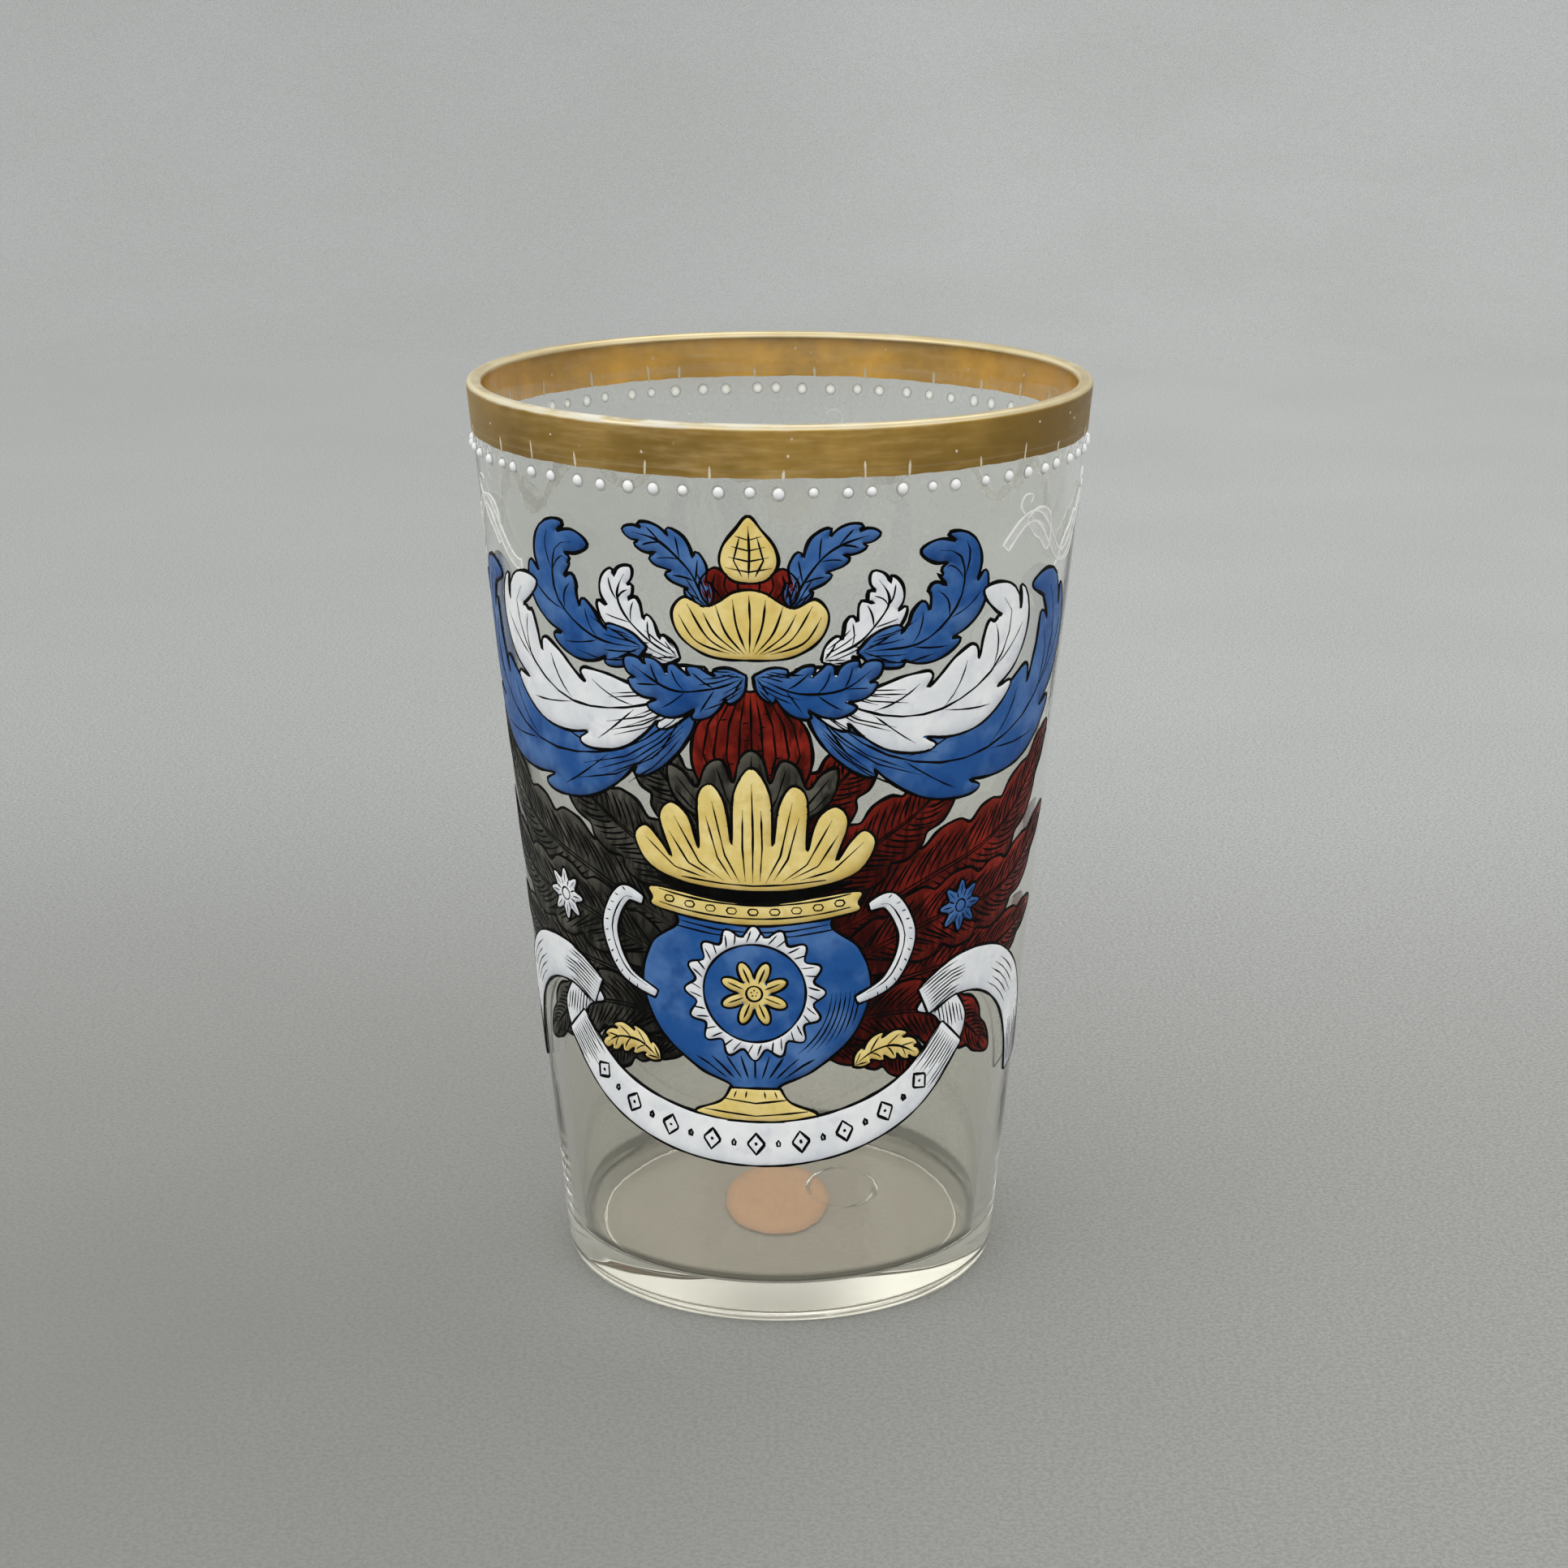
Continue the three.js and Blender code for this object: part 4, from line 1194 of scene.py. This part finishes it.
def ribbon_middle():
    curve = [(-29, 39), (-22, 31.8), (-12, 27.7), (0, 26.3), (12, 27.7), (22, 31.8), (29, 39)]
    shape = strip(curve, [5.6, 6.1, 6.3, 6.3, 6.3, 6.1, 5.6])
    painted("ribbon_centre", WHITE, 5, shape, 0.3, shade=0.5)
    at = bender(curve, 3.0)
    for i in range(11):
        y = -0.88 + 1.76 * i / 10
        for start, way, seed in ((0.012, 1, 11), (1 - 0.012, -1, 31)):
            long = 0.035 + 0.035 * chance(i + seed)
            hatch(at, start, way * long, y, 5, 0.17, (0, 0.5, 1.0, 1.5))
    # A plain row of lozenges and dots
    wide = 0.019
    for i in range(17):
        t = 0.12 + 0.76 * i / 16
        if i % 2:
            mark = [at(t + 0.004 * sin(a), 0.16 * cos(a)) for a in np.linspace(0, 6.0, 9)]
        else:
            mark = [at(t, 0.5), at(t + wide, 0), at(t, -0.5), at(t - wide, 0)]
        ink.draw(mark, 5, 0.34, closed=True)
        if i % 2 == 0:
            ink.draw([at(t - 0.003, 0), at(t + 0.003, 0.02)], 5, 0.4, 0.3)


# The vine: thin white lines with a faint fill, round the sides and the back
VINE_HEIGHT = 102.6
VINE_SWING = 3.3
VINE_STEM = 1.3
VINE_GAP = 0.15
VINE_LEAF = 6.4
VINE_LEAF_HALF = 1.8
VINE_WAVE = 18.0
VINE_START = 31.0
VINE_END = 2 * pi * SHEET_RADIUS - VINE_START


def vine_at(u):
    return (u, VINE_HEIGHT + VINE_SWING * sin(2 * pi * (u - VINE_START) / VINE_WAVE))


VINE_LEAF_SHAPE = (
    (0.02, 0.12), (0.2, 0.75), (0.45, 1), (0.7, 0.7), (1, 0),
    (0.7, -0.7), (0.45, -1), (0.2, -0.75), (0.02, -0.12),
)


def vine_leaf(pen, u, v, way):
    # A leaf with its rib and a curling tendril; gives the outline of the leaf
    spine = []
    for along, drop in ((0, 0), (0.55, 0.2), (0.8, 0.75)):
        spine.append((u + along * VINE_LEAF, v - way * drop * VINE_LEAF))
    at = bender(spine, VINE_LEAF_HALF * 1.05)
    shape = [at(t, y) for t, y in spline(VINE_LEAF_SHAPE, 4, True)]
    pen.loop(shape, 1, step=0.35)
    pen.draw([at(0.1 + 0.75 * f, 0) for f in (0, 0.3, 0.6, 1)], 1, 0.22, low=0.02)
    bends = ((0.4, 0), (-1.4, 1.6), (-0.8, 3.1), (0.7, 2.9), (0.4, 2.0))
    pen.draw(spline([(u + x, v + way * y) for x, y in bends], 6), 1, 0.26, 0.8, low=0.02)
    return shape


def vine():
    span = (VINE_END - VINE_START) / 3
    half = VINE_WAVE / 2
    for part, name in enumerate(("vine_right", "vine_back", "vine_left")):
        start = VINE_START + span * part + (VINE_GAP if part else 0)
        end = VINE_START + span * (part + 1) - (VINE_GAP if part < 2 else 0)
        pen = Pen(1.0)
        stem = [vine_at(u) for u in np.arange(start, end, 0.4)] + [vine_at(end)]
        shapes = [[tuple(p) for p in strip(stem[::3] + [stem[-1]], [VINE_STEM, VINE_STEM], 3)]]
        pen.loop(shapes[0], 1)
        for k in range(int((VINE_END - VINE_START) / half)):
            root = VINE_START + half * (k + 0.5) - 1
            if start + 1 <= root <= end - VINE_LEAF:
                shapes.append(vine_leaf(pen, *vine_at(root), -1 if k % 2 else 1))
        pen.make(name + "_lines", LINE_WHITE, [name])
        bm = bmesh.new()
        for shape in shapes:
            spots, faces = triangles([even_outline(shape, 0.5)], [])
            for out in (0.02, 0.07):
                add_faces(bm, [bm.verts.new(on_wall(u, v, out)) for u, v in spots], faces)
        finish(name + "_fill", bm, [THIN], [name])


# Short strokes of thin enamel that rise from the lower edge of the gilding, and specks on it
TICK_COUNT = 29
SPECK_COUNT = 16


def ticks():
    pen = Pen(1.0)
    for i in range(TICK_COUNT):
        u = (2 * pi * (i + 0.5 * (chance(i + 500) - 0.5)) / TICK_COUNT - DESIGN_TURN) * SHEET_RADIUS
        low = GILT_BOTTOM - 0.15 - 0.25 * chance(i + 520)
        tall = 1.3 + 1.1 * chance(i + 540)
        lean = 0.3 * (chance(i + 560) - 0.5)
        path = spline([(u, low), (u + lean * 0.3, low + tall * 0.5), (u + lean, low + tall)], 4)
        pen.draw(path, 1, low=0.02, lift=0.03)
        pen.draw(path, 1, low=0.004, lift=-0.085)
    for i in range(SPECK_COUNT):
        u = (2 * pi * (i + 0.7 * chance(i + 700)) / SPECK_COUNT) * SHEET_RADIUS
        v = GILT_BOTTOM + 2.2 + 2.2 * chance(i + 720)
        pen.draw([(u, v), (u + 0.22, v + 0.08)], 1, 0.42, 0.4, low=0.02)
    pen.make("gilt_ticks", WORN)


# The paper label under the base: an oval with a slightly uneven edge
LABEL_HALF_WIDTH = 7.3
LABEL_HALF_LENGTH = 11.5
LABEL_PLACE = (-0.4, 3)
LABEL_FACES = (0.06, 0.18)
LABEL_RINGS = 10
LABEL_SIDES = 96


def label():
    bm = bmesh.new()
    shade_layer = layers(bm, "shade")[0]
    sheets = []
    for drop in LABEL_FACES:
        rows = []
        for k in range(LABEL_RINGS + 1):
            row = []
            for i in range(LABEL_SIDES if k else 1):
                a = 2 * pi * i / LABEL_SIDES
                edge = 1 + 0.008 * cos(11 * a + 0.5) + 0.008 * sin(5 * a + 1) + 0.006 * sin(23 * a)
                x = LABEL_HALF_WIDTH * edge * k / LABEL_RINGS * cos(a) + LABEL_PLACE[0]
                y = LABEL_HALF_LENGTH * edge * k / LABEL_RINGS * sin(a) + LABEL_PLACE[1]
                vert = bm.verts.new((x, y, FOOT_RECESS - drop))
                vert[shade_layer] = 0.8 * max(0.0, k / LABEL_RINGS - 0.86) / 0.14
                row.append(vert)
            rows.append(row)
        for a, b in zip(rows, rows[1:]):
            band(bm, a, b, LABEL_SIDES)
        sheets.append(rows[-1])
    band(bm, *sheets, LABEL_SIDES)
    finish("label_sheet", bm, [PAPER], ["paper_label"])


# Floor that rises into a backdrop
def floor():
    bm = bmesh.new()
    profile = [(-1.6, 0.0), (-0.4, 0.0), (0.3, 0.0), (0.8, 0.0)]
    for i in range(1, 9):
        a = radians(5 * i)
        profile.append((0.8 + 0.7 * sin(a), 0.7 - 0.7 * cos(a)))
    rows = [[bm.verts.new((x, y, z - 0.00005)) for x in (-2.5, -0.8, 0.8, 2.5)] for y, z in profile]
    for a, b in zip(rows, rows[1:]):
        for i in range(3):
            bm.faces.new((a[i], a[i + 1], b[i + 1], b[i]))
    obj = add_mesh("floor", bm, [floor_material()])


# Soft studio light: a pale room, brighter on the camera's side and overhead
FRONT_LIGHT = (1.65, 1.65, 1.64)
LEFT_LIGHT = (1.2, 1.2, 1.17)
RIGHT_LIGHT = (0.72, 0.72, 0.7)
BACK_LIGHT = (0.5, 0.5, 0.46)
BACK_LEFT_LIGHT = (1.2, 1.2, 1.12)
BACK_RIGHT_LIGHT = (0.9, 0.9, 0.84)
CEILING_LIGHT = (0.95, 0.95, 0.95)
HORIZON_LIGHT = (0.46, 0.47, 0.465)


def area_light(name, location, size, power, colour):
    data = bpy.data.lights.new(name, "AREA")
    data.size = size
    data.energy = power
    data.color = colour
    obj = add_object(name, data)
    obj.location = location
    obj.rotation_euler = (Vector((0, 0, 0.05)) - Vector(location)).to_track_quat("-Z", "Y").to_euler()


def lights():
    world = bpy.data.worlds.new("studio")
    scene.world = world
    world.use_nodes = True
    world.node_tree.nodes.clear()
    x, y, z = put(world, "SeparateXYZ", {0: put(world, "TexCoord").outputs["Generated"]}).outputs
    sides = ramp(world, x, -0.6, 0.6, LEFT_LIGHT, RIGHT_LIGHT)
    back = ramp(world, x, -0.3, 0.3, BACK_LEFT_LIGHT, BACK_RIGHT_LIGHT)
    aside = calc(world, "ABSOLUTE", x, 0)
    back = ramp(world, aside, 0.05, 0.4, BACK_LIGHT, back)
    walls = ramp(world, y, -0.5, 0.1, FRONT_LIGHT, sides)
    walls = ramp(world, y, 0.3, 0.7, walls, back)
    walls = ramp(world, z, 0.02, 0.22, HORIZON_LIGHT, walls)
    sky = ramp(world, z, 0.3, 0.95, walls, CEILING_LIGHT)
    background = put(world, "Background", {"Color": sky, "Strength": 1.0}).outputs[0]
    put(world, "OutputWorld", {"Surface": background})
    area_light("key", (0.25, 0.35, 1.15), 0.8, 2.2, (1.0, 0.99, 0.97))
    area_light("fill", (-0.9, -0.5, 0.8), 0.7, 1.2, (0.97, 0.99, 1.0))


glass_body()
gilding()
pearl_row()
ticks()
vine()
plumes()
ink.make("plume_lines", BLACK)
scrolls()
fruit()
crest()
urn_body()
urn_foot_and_rim()
urn_badge()
urn_handles()
palmette()
daisies()
ribbon_ends()
ribbon_middle()
ink.make("ink_lines", BLACK)
label()
floor()
lights()

scene.view_settings.view_transform = "Standard"
